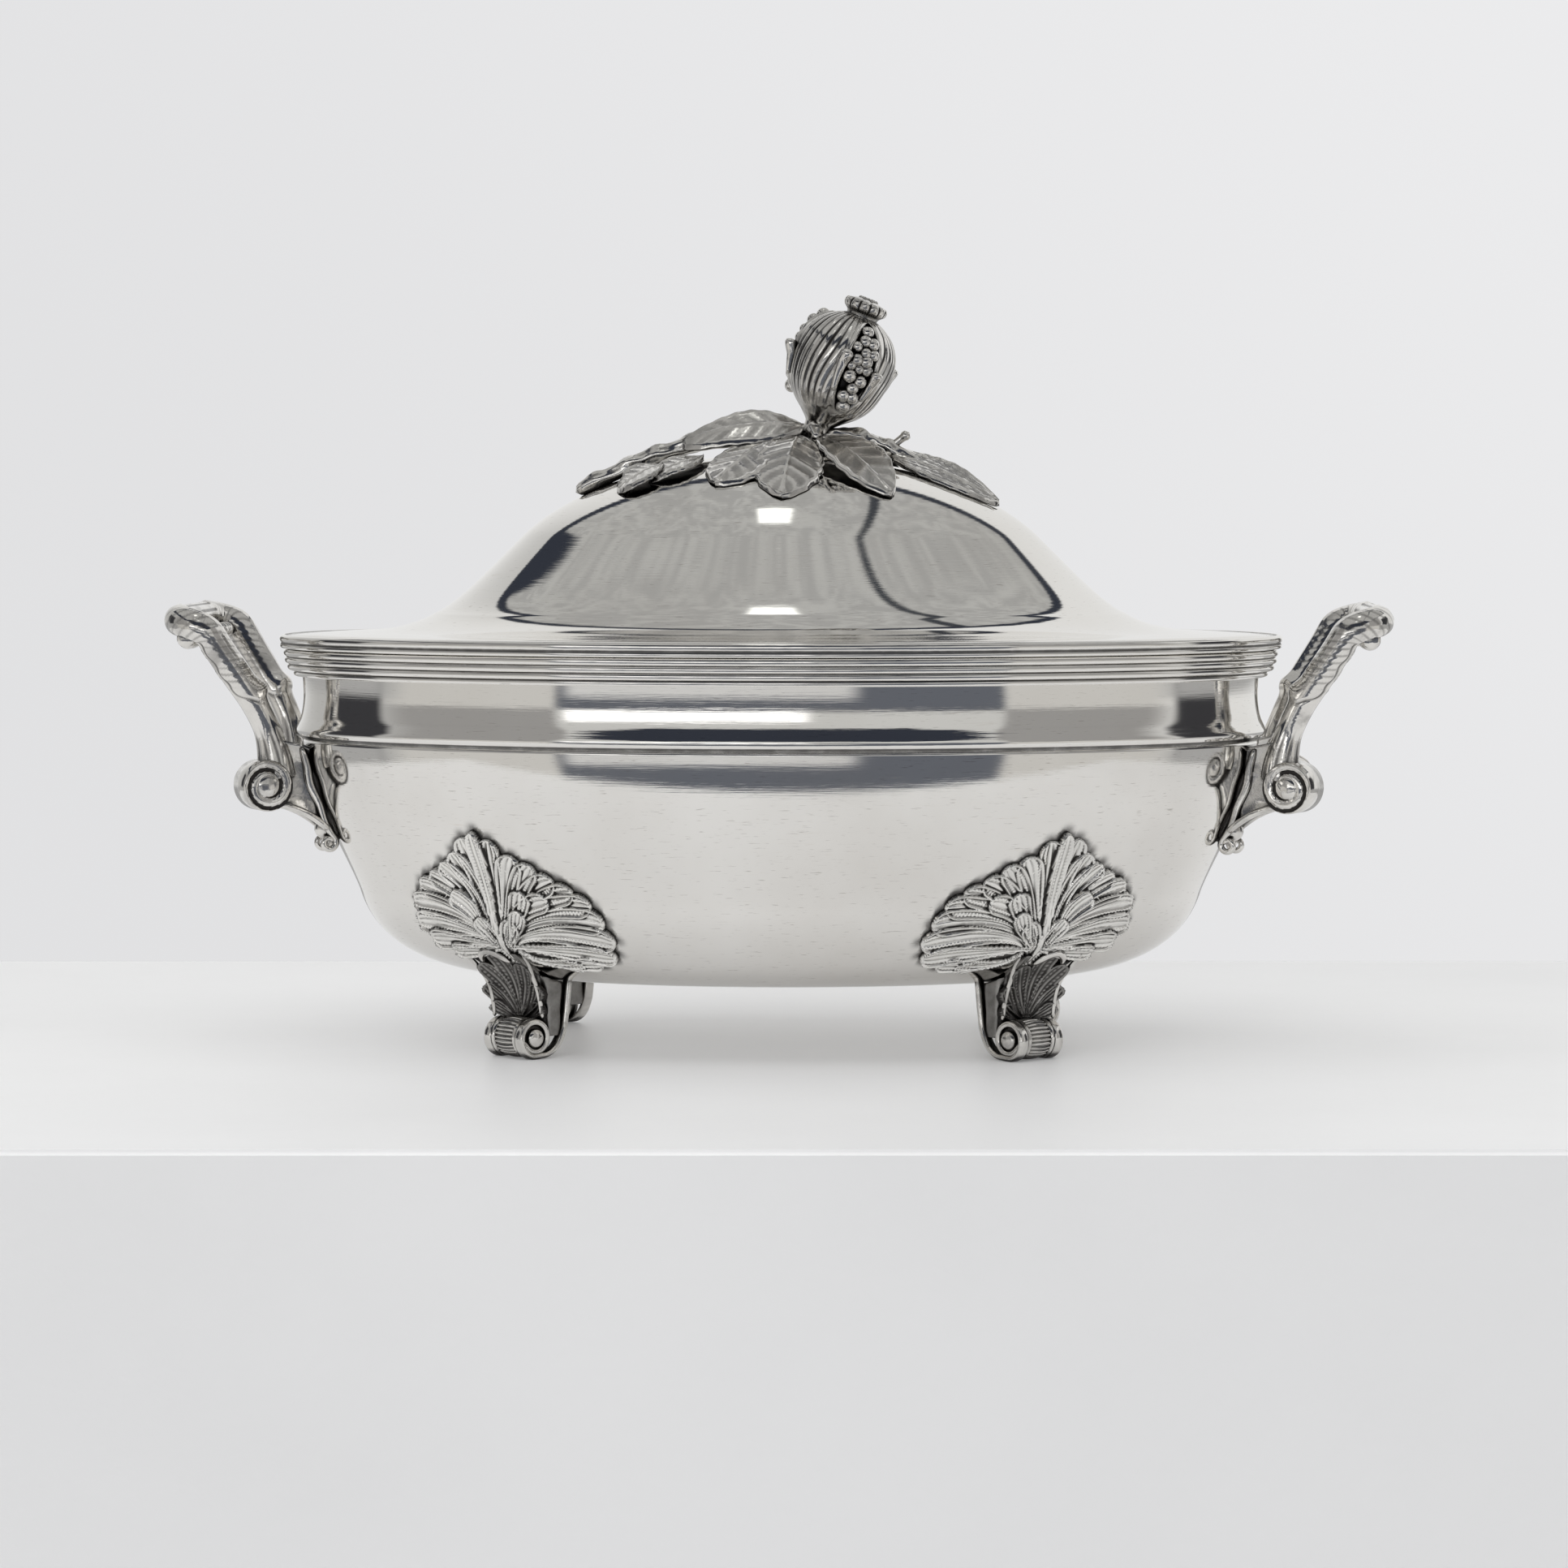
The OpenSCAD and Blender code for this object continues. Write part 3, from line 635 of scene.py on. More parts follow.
def fan_shadow(points):
    """Painted shade, with tarnish, that surrounds each cast leaf on the bowl."""
    p = points.reshape(-1, 3)
    where = fan_coordinates(p)
    outside = np.hypot(p[:, 0], p[:, 1] / OVAL) > np.interp(
        p[:, 2], BOWL_PATH[10:, 1], BOWL_PATH[10:, 0]) - 0.6
    close = outside & (np.abs(where[:, 0] - 4) < 46) & (np.abs(where[:, 1] - 18) < 36)
    gap = np.full(len(p), 99.0)
    for base, tip, width, _, spring, _ in FAN:
        share, d, _ = along(where[close], petal_path(base, tip, spring))
        gap[close] = np.minimum(gap[close], d - petal_half(share, width))
    return (1 - smooth((gap + 1.0) / 5.6)).reshape(points.shape[:2])


turned("bowl_body", bowl_section(), BODY_SILVER, "bowl", ["bowl_shell"], 840, fan_shadow)

for corner, signs in CORNERS.items():
    relief_piece("fan_" + corner, np.arange(-36, 45, 0.3), np.arange(-11, 47, 0.3), FAN, on_flank,
                 ["palmette_" + corner], LEAF_SILVER, signs)


# ---- Swept shapes --------

def swept(path, ring, side, radii, wave=1.0):
    """Points of a tube: a unit ring sized by radii, along a path and across it, and by wave.

    side is a fixed sideways direction, or None for a frame that turns with the path.
    """
    path = np.asarray(path, float)
    n = len(path)
    way = headings(path)
    if side is not None:
        across = np.tile(np.asarray(side, float), (n, 1))
    else:
        across = np.zeros((n, 3))
        across[0] = np.cross(way[0], (0.3, 0.2, 1))
        for i in range(1, n):
            across[i] = across[i - 1]
            across[i] -= way[i] * (across[i] @ way[i])
            across[i] /= np.linalg.norm(across[i])
        across[0] /= np.linalg.norm(across[0])
    up = np.cross(across, way)
    up /= np.linalg.norm(up, axis=1)[:, None]
    if radii.ndim == 1:
        radii = np.stack([radii, radii], 1)
    size = ring[None] * radii[:, None] * np.broadcast_to(wave, (n, len(ring)))[..., None]
    return path[:, None] + across[:, None] * size[..., :1] + up[:, None] * size[..., 1:]


def circle(count, power=1.0):
    """Unit circle, or squarer for a power below 1."""
    c, s = np.cos(turn_angles(count)), np.sin(turn_angles(count))
    return np.stack([np.sign(c) * np.abs(c) ** power, np.sign(s) * np.abs(s) ** power], 1)


def tapered(n, blunt=0.06):
    """Radius factor along a tube with its two ends rounded off."""
    t = np.linspace(0, 1, n)
    e = np.clip(np.minimum(t, 1 - t) / blunt, 0, 1)
    return np.sqrt(1 - (1 - e) ** 2)


class Casting:
    """Collects tubes, discs and grids that make one cast piece."""

    def __init__(self):
        self.points, self.faces, self.recess, self.count = [], [], [], 0

    def grid(self, points, caps=True, recess=0.0):
        """Rows of closed rings, with a face over each end unless caps is false."""
        rows, columns = points.shape[:2]
        faces = grid_faces(rows, columns, close_columns=True, start=self.count)
        if caps:
            last = self.count + (rows - 1) * columns
            faces.append(list(range(self.count, self.count + columns))[::-1])
            faces.append(list(range(last, last + columns)))
        self.points.append(points.reshape(-1, 3))
        self.faces += faces
        # recess is painted shade, together with oxide, that the cast material lays over the colour
        self.recess.append(np.broadcast_to(recess, (rows, columns)).ravel())
        self.count += rows * columns

    def tube(self, path, radius, sides=20, side=None, power=1.0, blunt=0.06, recess=0.0):
        """Round bar: the radius is one number, one a point, or a pair a point."""
        r = np.asarray(radius, float)
        if r.ndim < 2:
            r = np.broadcast_to(r[..., None], (len(path), 2))
        r = r * np.maximum(tapered(len(path), blunt), 0.02)[:, None]
        self.grid(swept(path, circle(sides, power), side, r), recess=recess)

    def ball(self, centre, radius, count=14):
        a = np.linspace(0, math.pi, count)
        path = np.asarray(centre, float) + np.outer(np.cos(a), (0, 0, radius))
        ring = circle(count + 4)
        r = np.maximum(np.sin(a), 0.02) * radius
        points = path[:, None] + np.concatenate(
            [ring[None] * r[:, None, None], np.zeros((count, len(ring), 1))], -1)
        self.grid(points)

    def make(self, name, body, replaces, mirror=(1, 1), material=CAST_SILVER):
        points = np.vstack(self.points) * np.array([mirror[0], mirror[1], 1])
        faces = self.faces
        if mirror[0] * mirror[1] < 0:
            faces = [f[::-1] for f in faces]
        return mesh_piece(name, points, faces, material, body, replaces,
                          {"recess": np.concatenate(self.recess)})


class Plane:
    """Upright plane with an origin and a heading: s outwards, w sideways, z up."""

    def __init__(self, origin, heading):
        self.origin = np.array([origin[0], origin[1], 0.0])
        self.out = np.array([math.cos(heading), math.sin(heading), 0])
        self.side = np.array([-math.sin(heading), math.cos(heading), 0])

    def at(self, s, w, z):
        s, w, z = np.broadcast_arrays(np.asarray(s, float), w, z)
        return (self.origin + s[..., None] * self.out + w[..., None] * self.side
                + z[..., None] * np.array([0, 0, 1.0]))

    def rings(self, centre, steps):
        """Rings round a centre in the plane, one for each radius and sideways place."""
        c, s = np.cos(turn_angles(48)), np.sin(turn_angles(48))
        return np.stack([self.at(centre[0] + r * c, w, centre[1] + r * s) for r, w in steps])


def spiral(centre, start_angle, radius, turns, end_radius, steps=60):
    """Path in a plane that winds in round a centre; angles in degrees, positive turns."""
    a = np.radians(start_angle) + np.linspace(0, turns * 2 * math.pi, steps)
    r = np.linspace(radius, end_radius, steps)
    return np.stack([centre[0] + r * np.cos(a), centre[1] + r * np.sin(a)], 1)


# ---- Feet --------

FOOT_TURN = math.radians(180 + 44)
SCROLL = (2.2, 6.65)
SCROLL_R = 6.9
SCROLL_W = 18.5
contact = np.array(frame["record"]["mounts"][0]["pos_m"][:2]) / MM
FOOT_PLANE = Plane(contact - SCROLL[0] * np.array([math.cos(FOOT_TURN), math.sin(FOOT_TURN)]),
                   FOOT_TURN)


def leg_front(z):
    """How far forward the leg's front lies at a height."""
    curve_in = spline([(1.5, 6), (1.8, 12), (2.6, 18), (4.6, 24), (8.5, 30), (14.5, 36)], 6)
    return np.interp(z, curve_in[:, 1], curve_in[:, 0])


LEG_TWIST = 0.36                    # how far the leg's front falls back across its width


def leg_back(z):
    back = join([(-9, 4), (-10.6, 9), (-10.5, 15), (-11.4, 21), (-12, 27), (-13, BASE_Z + 14)])
    return np.interp(z, back[:, 1], back[:, 0])


def flank_limit(plane, z, w, back=0.0):
    """Where the bowl's outside crosses a plane at a height."""
    s = np.linspace(-30, 60, 1801)
    p = plane.at(s, w, z)
    r = np.interp(z, BOWL_PATH[10:, 1], BOWL_PATH[10:, 0])
    inside = np.hypot(p[:, 0], p[:, 1] / OVAL) < r - back
    return s[inside].max() if inside.any() else -99


ACANTHUS = [
    ((0, 12), (-8.2, 17.0), 5.0, 0.8, (0.6, 0.3), True),
    ((0, 12), (8.6, 17.0), 5.0, 0.8, (0.6, 0.3), True),
    ((0, 12), (-9.0, 23.0), 5.6, 1.0, (0.5, 0.4), True),
    ((0, 12), (9.4, 23.0), 5.6, 1.0, (0.5, 0.4), True),
    ((0, 12), (-7.2, 30.0), 6.6, 1.2, (0.3, 0.5), False),
    ((0, 12), (7.6, 30.0), 6.6, 1.2, (0.3, 0.5), False),
    ((0, 12), (0, 35.0), 7.6, 1.2, UP, False),
]


def foot(corner, signs):
    part = Casting()
    half = SCROLL_W / 2
    # web of the leg: a tube of rounded sections from the knee up to the flank
    rows = []
    a = turn_angles(48)
    for z in np.linspace(7, BASE_Z + 11, 46):
        front, back = leg_front(z) - 0.6, leg_back(z) + 1.0
        wide = 8.6 + 1.8 * smooth((z - 24) / 10)
        c, s = np.cos(a), np.sin(a)
        n = (front + back) / 2 + (front - back) / 2 * np.sign(c) * np.abs(c) ** 0.35
        w = wide * np.sign(s) * np.abs(s) ** 0.35
        hollow = (c > 0) * 1.2 * np.exp(-(w / 6.5) ** 2) + LEG_TWIST * w * smooth(c * 2)
        if z > BASE_Z:
            n = np.maximum(n, flank_limit(FOOT_PLANE, z, 0, 0.4))
        rows.append(FOOT_PLANE.at(n - hollow, w, z))
    part.grid(np.stack(rows), recess=0.55)
    # rolled scroll between the cheeks, with fine ribs
    a = turn_angles(168)
    w = np.linspace(-half + 4.2, half - 4.2, 15)
    r = 5.5 + 0.3 * np.cos(a * 28)[None, :] + 0.7 * np.cos(w / half * 2.4)[:, None]
    # painted shade in the grooves between the ribs
    part.grid(FOOT_PLANE.at(SCROLL[0] + r * np.cos(a), w[:, None], SCROLL[1] + r * np.sin(a)),
              recess=np.where(np.cos(a * 28) < -0.2, 0.6, 0.0)[None, :])
    for cheek in (-1, 1):
        w0 = cheek * (half - 1.4)
        drum = ((5.4, 4.9), (6.3, 4.6), (6.5, 3.9), (5.8, 3.2), (6.3, 2.4), (6.3, 1.8))
        # painted shade in the grooves of the drums
        part.grid(FOOT_PLANE.rings(SCROLL, [(r, cheek * (half - d)) for r, d in drum]),
                  recess=np.array([0.6, 0.1, 0, 0.7, 0.2, 0.2])[:, None])
        strap = spline([(-12.2, BASE_Z + 9), (-11.6, 26), (-11.0, 20), (-10.4, 14.5),
                        (-9.4, 9), (-6.8, 4.2), (-3.0, 1.6), (1.0, 0.95)], 10)
        wind = spiral(SCROLL, -78, SCROLL_R - 1.0, 1.2, 4.0, 90)
        edge = np.vstack([strap, wind])
        width = np.interp(np.arange(len(edge)), [0, 70, 100, len(edge)], [1.5, 2.1, 1.6, 1.2])
        across = np.interp(edge[:, 1], [0, 12, 26, 34], cheek * (half - np.array([1.4, 1.6, 1.2, 0.4])))
        across[len(strap):] = w0
        part.tube(FOOT_PLANE.at(edge[:, 0], across, edge[:, 1]),
                  np.stack([width, np.full(len(edge), 1.0)], 1), 16, FOOT_PLANE.side, 0.6)
        # plate behind the winding, dark with painted shade, and the eye with painted shade round its
        # edge
        plate = [((SCROLL_R - 1.2) * k, w0 + cheek * d)
                 for k, d in ((1, -2.2), (1, 0.2), (0.6, 0.2), (0.02, 0.2))]
        part.grid(FOOT_PLANE.rings(SCROLL, plate), recess=0.75)
        eye = ((3.0, 0), (3.0, 1.0), (2.6, 1.7), (1.6, 2.1), (0.05, 2.2))
        part.grid(FOOT_PLANE.rings(SCROLL, [(r, w0 + cheek * d) for r, d in eye]),
                  recess=np.array([0.8, 0.1, 0, 0, 0])[:, None])
        # thin edge from the knee up to the cast leaf
        z = np.linspace(12.5, BASE_Z + 11, 30)
        w = cheek * (8.2 + 1.8 * smooth((z - 24) / 10))
        n = leg_front(z) + 0.2 - LEG_TWIST * w
        part.tube(FOOT_PLANE.at(n, w, z), 0.75, 10)
        # tendril where the strap meets the cast leaf
        tail = spline([(-11.5, 27), (-8.5, 30), (-4, 32.0), (0, 31.5), (1.5, 29.5), (0, 28.4)], 8)
        part.tube(FOOT_PLANE.at(tail[:, 0], cheek * (half - 2.6), tail[:, 1]), 0.95, 12)
    # rolled lip at the top of the front leaf
    lip = spline([(-4.8, 30.6), (-3, 33.3), (0, 34.6), (3, 33.3), (4.8, 30.6)], 8)
    lip_n = leg_front(lip[:, 1]) + 1.5 - LEG_TWIST * lip[:, 0]
    part.tube(FOOT_PLANE.at(lip_n, lip[:, 0], lip[:, 1]), 1.25, 14, blunt=0.3)
    part.make("leg_" + corner, "bowl", ["foot_" + corner], signs)

    def on_front(u, v, h):
        n = leg_front(v) - 1.4 * np.exp(-(u / 6.5) ** 2) - LEG_TWIST * u + h * 0.9
        return FOOT_PLANE.at(n, u, v)

    relief_piece("acanthus_" + corner, np.arange(-12, 12, 0.25), np.arange(10, 36, 0.25), ACANTHUS,
                 on_front, (), CAST_SILVER, signs, shadow=0.55)


for corner, signs in CORNERS.items():
    foot(corner, signs)

# ---- Handles and brackets --------

GRIP_X = high("handle_loop_right").x - 8.2
CORNER_R = 8.0
SPLAY = math.radians(24)
LEAN = math.radians(11)            # of the stem, in the arm's plane
BEND_R = 22.0
ARM_X, ARM_Y = BOWL_R - 20, 14.5
LOOP_Z = high("handle_loop_right").z - 5.8
JOINT_Z = BOWL_TOP - 5
CORNER_X = GRIP_X - CORNER_R
ARM_END_X = CORNER_X - CORNER_R * math.sin(SPLAY)
ARM_END_S = (ARM_END_X - ARM_X) / math.cos(SPLAY)
CORNER_Y = ARM_Y + math.tan(SPLAY) * (ARM_END_X - ARM_X) - CORNER_R * math.cos(SPLAY)
BEND_S = ARM_END_S - BEND_R * math.cos(LEAN)
BEND_Z = LOOP_Z - BEND_R * (1 - math.sin(LEAN))
JOINT_S = BEND_S - (BEND_Z - JOINT_Z) * math.tan(LEAN)
VOLUTE = (JOINT_S + 9.5, JOINT_Z - 9.4)
VOLUTE_R = 8.2
ARM_PLANE = Plane((ARM_X, ARM_Y), SPLAY)
ARM_LINE = spline([(27.8, JOINT_Z - 7), (28.4, JOINT_Z - 1), (30.0, JOINT_Z + 6),
                   (33.0, JOINT_Z + 13), (37.2, JOINT_Z + 20), (42.0, JOINT_Z + 27),
                   (46.6, JOINT_Z + 33.5), (ARM_END_S + 1.5, LOOP_Z - 3.4)], 11)


def half_loop():
    """Centre line from the stem's foot to the middle of the crossbar, arm on the +Y side."""
    arm = ARM_PLANE.at(ARM_LINE[:-1, 0], 0, ARM_LINE[:-1, 1])
    a = np.linspace(math.pi / 2 + SPLAY, 0, 24)[:-1]
    corner = np.stack([CORNER_X + CORNER_R * np.cos(a), CORNER_Y + CORNER_R * np.sin(a),
                       LOOP_Z - 3.4 * (1 - np.sin(np.linspace(0, 1, len(a)) * math.pi / 2))], 1)
    path = np.vstack([arm, corner, [[GRIP_X, CORNER_Y, LOOP_Z], [GRIP_X, 0, LOOP_Z]]])
    length = run_length(path)
    even = np.linspace(0, length[-1], int(length[-1] / 0.5))
    path = np.stack([np.interp(even, length, path[:, k]) for k in range(3)], 1)
    kernel = np.exp(-0.5 * (np.arange(-18, 19) / 6.5) ** 2)
    before = path[0] - (path[1] - path[0]) * np.arange(18, 0, -1)[:, None]
    after = (path * [1, -1, 1])[::-1][1:19]
    run = np.vstack([before, path, after])
    return np.stack([np.convolve(run[:, k], kernel / kernel.sum(), "valid") for k in range(3)], 1)


def handle_loop(name, signs, replaces):
    """Bail handle: stem, wrapped leaf, corner and fluted crossbar in one swept casting."""
    part = Casting()
    half = half_loop()
    path = np.vstack([half, (half * [1, -1, 1])[::-1][1:]])
    length = run_length(half)
    s = np.concatenate([length, length[::-1][1:]])[:, None]      # from the nearer foot
    a = turn_angles(72)
    spread = np.arccos(np.clip(np.cos(a), -1, 1))[None] / math.pi    # 0 on the upper side, 1 below
    way = headings(path)
    outer = np.array([0, 0, 1.0]) - way * way[:, 2:]
    outer /= np.linalg.norm(outer, axis=1)[:, None]
    across = np.cross(way, outer)
    tip_at = 25.0                                                # where the wrapped leaf begins
    bar_at = length[-1] - CORNER_Y
    bar = smooth((s - bar_at) / 3)
    radius = 4.3 + 1.9 * smooth((18 - s) / 18) + 0.3 * smooth((s - tip_at) / 12)
    flutes = 0.10 * np.cos(a[None, :] * 10 + s * 0.09) * smooth((22 - s) / 12)
    bar_flutes = 0.18 * np.cos(a * 9)[None, :] * bar
    # leaf wrapped over the outer side, with a rounded tip, a rib, veins and a groove round it
    reach = np.clip((s - tip_at) / 34, 0, 1)
    edge = 0.78 * (0.35 + 0.75 * np.sqrt(np.clip(reach * 4, 0, 1)) + 0.05 * np.cos(s * 0.8))
    cover = (smooth((edge - spread) / 0.05) * smooth((s - tip_at) / 1.6)
             * smooth((bar_at + 4 - s) / 3))
    knob = np.exp(-((s - tip_at - 3) / 3.0) ** 2) * np.exp(-(spread / 0.24) ** 2)
    veins = (0.02 * np.cos(s * 2.4 - spread * 20) * smooth((s - tip_at - 7) / 4)
             * smooth((spread - 0.05) / 0.05))
    midrib = 0.22 * np.exp(-(spread / 0.035) ** 2) * smooth((s - tip_at - 3) / 4)
    groove = (0.22 * np.exp(-((spread - edge - 0.03) / 0.035) ** 2) * smooth((s - tip_at + 2) / 2)
              * (1 - bar))
    wave = (radius + flutes + cover * (0.45 + veins * (1 - bar) + midrib) + knob * 1.7
            - groove + bar_flutes)[..., None]
    points = (path[:, None] + outer[:, None] * (np.cos(a)[None, :, None] * wave)
              + across[:, None] * (np.sin(a)[None, :, None] * wave))
    # painted shade in the groove round the leaf, between its veins and in the flutes
    dark = np.clip(groove * 2.2 + cover * (1 - bar) * smooth(-veins / 0.02) * 0.26
                   + smooth(-flutes / 0.1) * 0.4 + (bar_flutes < -0.12) * 0.4 + 0.2, 0, 1)
    part.grid(points, recess=dark)
    # scalloped shells rolled under each end of the crossbar
    y = np.linspace(-9, 9, 73)
    lobes = np.abs(np.cos(y / 9 * math.pi * 2.0))
    # painted shade between the lobes of the shells
    dark = ((lobes < 0.35) * 0.7)[:, None]
    for end in (-1, 1):
        roll = np.stack([np.full(73, GRIP_X - 2.6), end * (CORNER_Y - 6) + y,
                         LOOP_Z - 5.4 - 0.6 * lobes], 1)
        part.tube(roll, 1.9 + 1.5 * lobes, 24, (1, 0, 0), recess=dark)
        part.tube(roll + [-4.2, 0, 1.6], 1.4 + 1.2 * lobes, 20, (1, 0, 0), recess=dark)
    part.make(name, "bowl", replaces, signs, HANDLE_SILVER)


def scroll_disc(part, plane, centre, radius, half, start, turns):
    """Disc with a spiral band wound into a domed eye, on both faces."""
    a = turn_angles(120)
    r = np.concatenate([np.linspace(0.0, 0.985, 34), [1.0]]) * radius
    angle = (a[None, :] - start) % (2 * math.pi)
    inner = 0.44 * radius
    pitch = (radius - inner) / turns
    # distance inwards from the band's outer edge, along each ray
    depth = ((radius - r[:, None]) / pitch - angle / (2 * math.pi)) % 1.0
    band = np.where(depth < 0.62, 0.7 + 0.3 * np.sin(depth / 0.62 * math.pi), 0)
    band = np.where((depth > 0.62) & (depth < 0.72), 1 - (depth - 0.62) / 0.1, band)
    eye = np.sqrt(np.clip(1 - (r[:, None] / inner) ** 2, 0, 1))
    relief = np.where(r[:, None] < inner, 1.5 * eye ** 0.6, band * 0.9)
    edge = smooth((1 - r[:, None] / radius) / 0.06)
    ring = np.stack([np.cos(a), np.sin(a)], 1)
    faces = []
    for sign in (1, -1):
        w = sign * (half - 0.6 + relief * edge)
        faces.append(plane.at(centre[0] + r[:, None] * ring[None, :, 0], w,
                              centre[1] + r[:, None] * ring[None, :, 1]))
    # painted shade in the gap between the turns of the band
    dark = np.where((r[:, None] > inner * 0.95) & (band < 0.4), 0.9, 0.0)
    part.grid(np.concatenate([faces[0], faces[1][::-1]]),
              caps=False, recess=np.concatenate([dark, dark[::-1]]))


def bracket(name, signs, replaces):
    """Scrolled bracket that joins one arm of a handle to the bowl's side."""
    part = Casting()
    half = 4.3
    edge_z = np.linspace(JOINT_Z - 27, JOINT_Z + 2.5, 26)
    outline_low = bezier((7.5, JOINT_Z - 28), (12, JOINT_Z - 25), (VOLUTE[0] - 15, VOLUTE[1] - 8),
                         (VOLUTE[0] - 3, VOLUTE[1] - 6.6), 12)
    outline_up = np.array([(VOLUTE[0] + 2, VOLUTE[1] + 4), (JOINT_S + 8, JOINT_Z - 1),
                           (JOINT_S + 4, JOINT_Z + 5), (JOINT_S - 1, JOINT_Z + 4),
                           (JOINT_S - 8, JOINT_Z + 2.4)])
    centre = np.array([JOINT_S - 7, JOINT_Z - 10])
    layers = []
    for w, inset in ((-half + 1.4, 0.45), (-half + 1.2, 0.9), (-half, 1.0), (0, 1.0), (half, 1.0),
                     (half - 1.2, 0.9), (half - 1.4, 0.45)):
        s_in = [max(flank_limit(ARM_PLANE, z, k, 0.4) for k in (w, -w)) for z in edge_z]
        ring = np.vstack([outline_low, outline_up, np.stack([s_in, edge_z], 1)[::-1]])
        if inset < 1:
            ring = centre + (ring - centre) * inset
        layers.append(ARM_PLANE.at(ring[:, 0], w, ring[:, 1]))
    part.grid(np.stack(layers), recess=0.34)
    # bright strip down the bowl's side, on both faces, ending in a pierced tendril
    z = np.linspace(JOINT_Z + 3, JOINT_Z - 26, 40)
    s_in = np.array([flank_limit(ARM_PLANE, k, 0, 0) for k in z])
    strip = np.stack([s_in + 2.4 + 0.35 * np.sin((z - JOINT_Z) * 0.5), z], 1)
    tendril = spiral((0, 0), 120, 2.6, 1.15, 1.2, 30)
    line = np.vstack([strip, strip[-1] + tendril[1:] - tendril[0]])
    for w in (-3.6, 3.6):
        width = np.interp(np.arange(len(line)), [0, 12, 40, len(line)], [0.9, 1.4, 1.1, 0.8])
        part.tube(ARM_PLANE.at(line[:, 0], w, line[:, 1]),
                  np.stack([np.full(len(line), 1.0), width], 1), 16, ARM_PLANE.side)
    lower = np.vstack([outline_low[2:],
                       spiral(VOLUTE, -115, VOLUTE_R - 0.8, -0.06, VOLUTE_R - 0.8, 4)])
    for w in (-3.9, 3.9):
        part.tube(ARM_PLANE.at(lower[:, 0], w, lower[:, 1] + 0.6), 1.15, 12, ARM_PLANE.side)
    # knobs on the tendril's stem
    part.ball(ARM_PLANE.at(strip[-4, 0], 0, strip[-4, 1]), 3.6)
    part.ball(ARM_PLANE.at(strip[-10, 0] - 0.5, 0, strip[-10, 1]), 3.2)
    scroll_disc(part, ARM_PLANE, VOLUTE, VOLUTE_R, 6.4, math.radians(120), 1.15)
    part.make(name, "bowl", replaces, signs, HANDLE_SILVER)


for side, sx in (("right", 1), ("left", -1)):
    handle_loop("loop_" + side, (sx, 1), ["handle_loop_" + side])
    for face, sy in (("back", 1), ("front", -1)):
        bracket("scroll_%s_%s" % (face, side), (sx, sy), ["bracket_%s_%s" % (face, side)])

# ---- Finial --------

ROOT_X = 11.0
ROOT_TOP = high("finial_root").z
FRUIT_R = 16.4
STALK = 5.0
FRUIT_MID = STALK + FRUIT_R
TILT = math.radians(22)
GOLDEN_ANGLE = 2.39996


def lid_z(x, y):
    """Height of the lid's outer face at a point of its plan."""
    return np.interp(np.hypot(x, np.asarray(y) / OVAL), LID_PATH[::-1, 0], LID_PATH[::-1, 1])


def on_root(points):
    """Upright fruit coordinates to the lid, tilted about the root."""
    p = np.asarray(points, float)
    c, s = math.cos(TILT), math.sin(TILT)
    return np.stack([ROOT_X + 1.2 + p[..., 0] * c + p[..., 2] * s, p[..., 1],
                     ROOT_TOP - p[..., 0] * s + p[..., 2] * c], -1)


FRUIT_PATH = spline([(4.8, -3.0), (4.5, 0.6), (7.0, 3.4), (11.2, 7.0), (14.3, 11.8),
                     (16.0, FRUIT_MID - 3), (16.4, FRUIT_MID + 2), (15.6, FRUIT_MID + 7.5),
                     (12.6, FRUIT_MID + 12.3), (8.4, FRUIT_MID + 15.4), (5.6, FRUIT_MID + 16.6)], 12)
SPLITS = (math.radians(-68), math.radians(170), math.radians(50))


def skin_r(z):
    """Radius of the fruit's skin at a height."""
    return np.interp(z, FRUIT_PATH[:, 1], FRUIT_PATH[:, 0])


def split_half(z):
    """Half width of a split in the skin at a height."""
    t = (z - FRUIT_MID + 14) / 29.5
    return 4.9 * np.sqrt(np.clip(np.sin(np.clip(t, 0, 1) * math.pi), 0, 1))


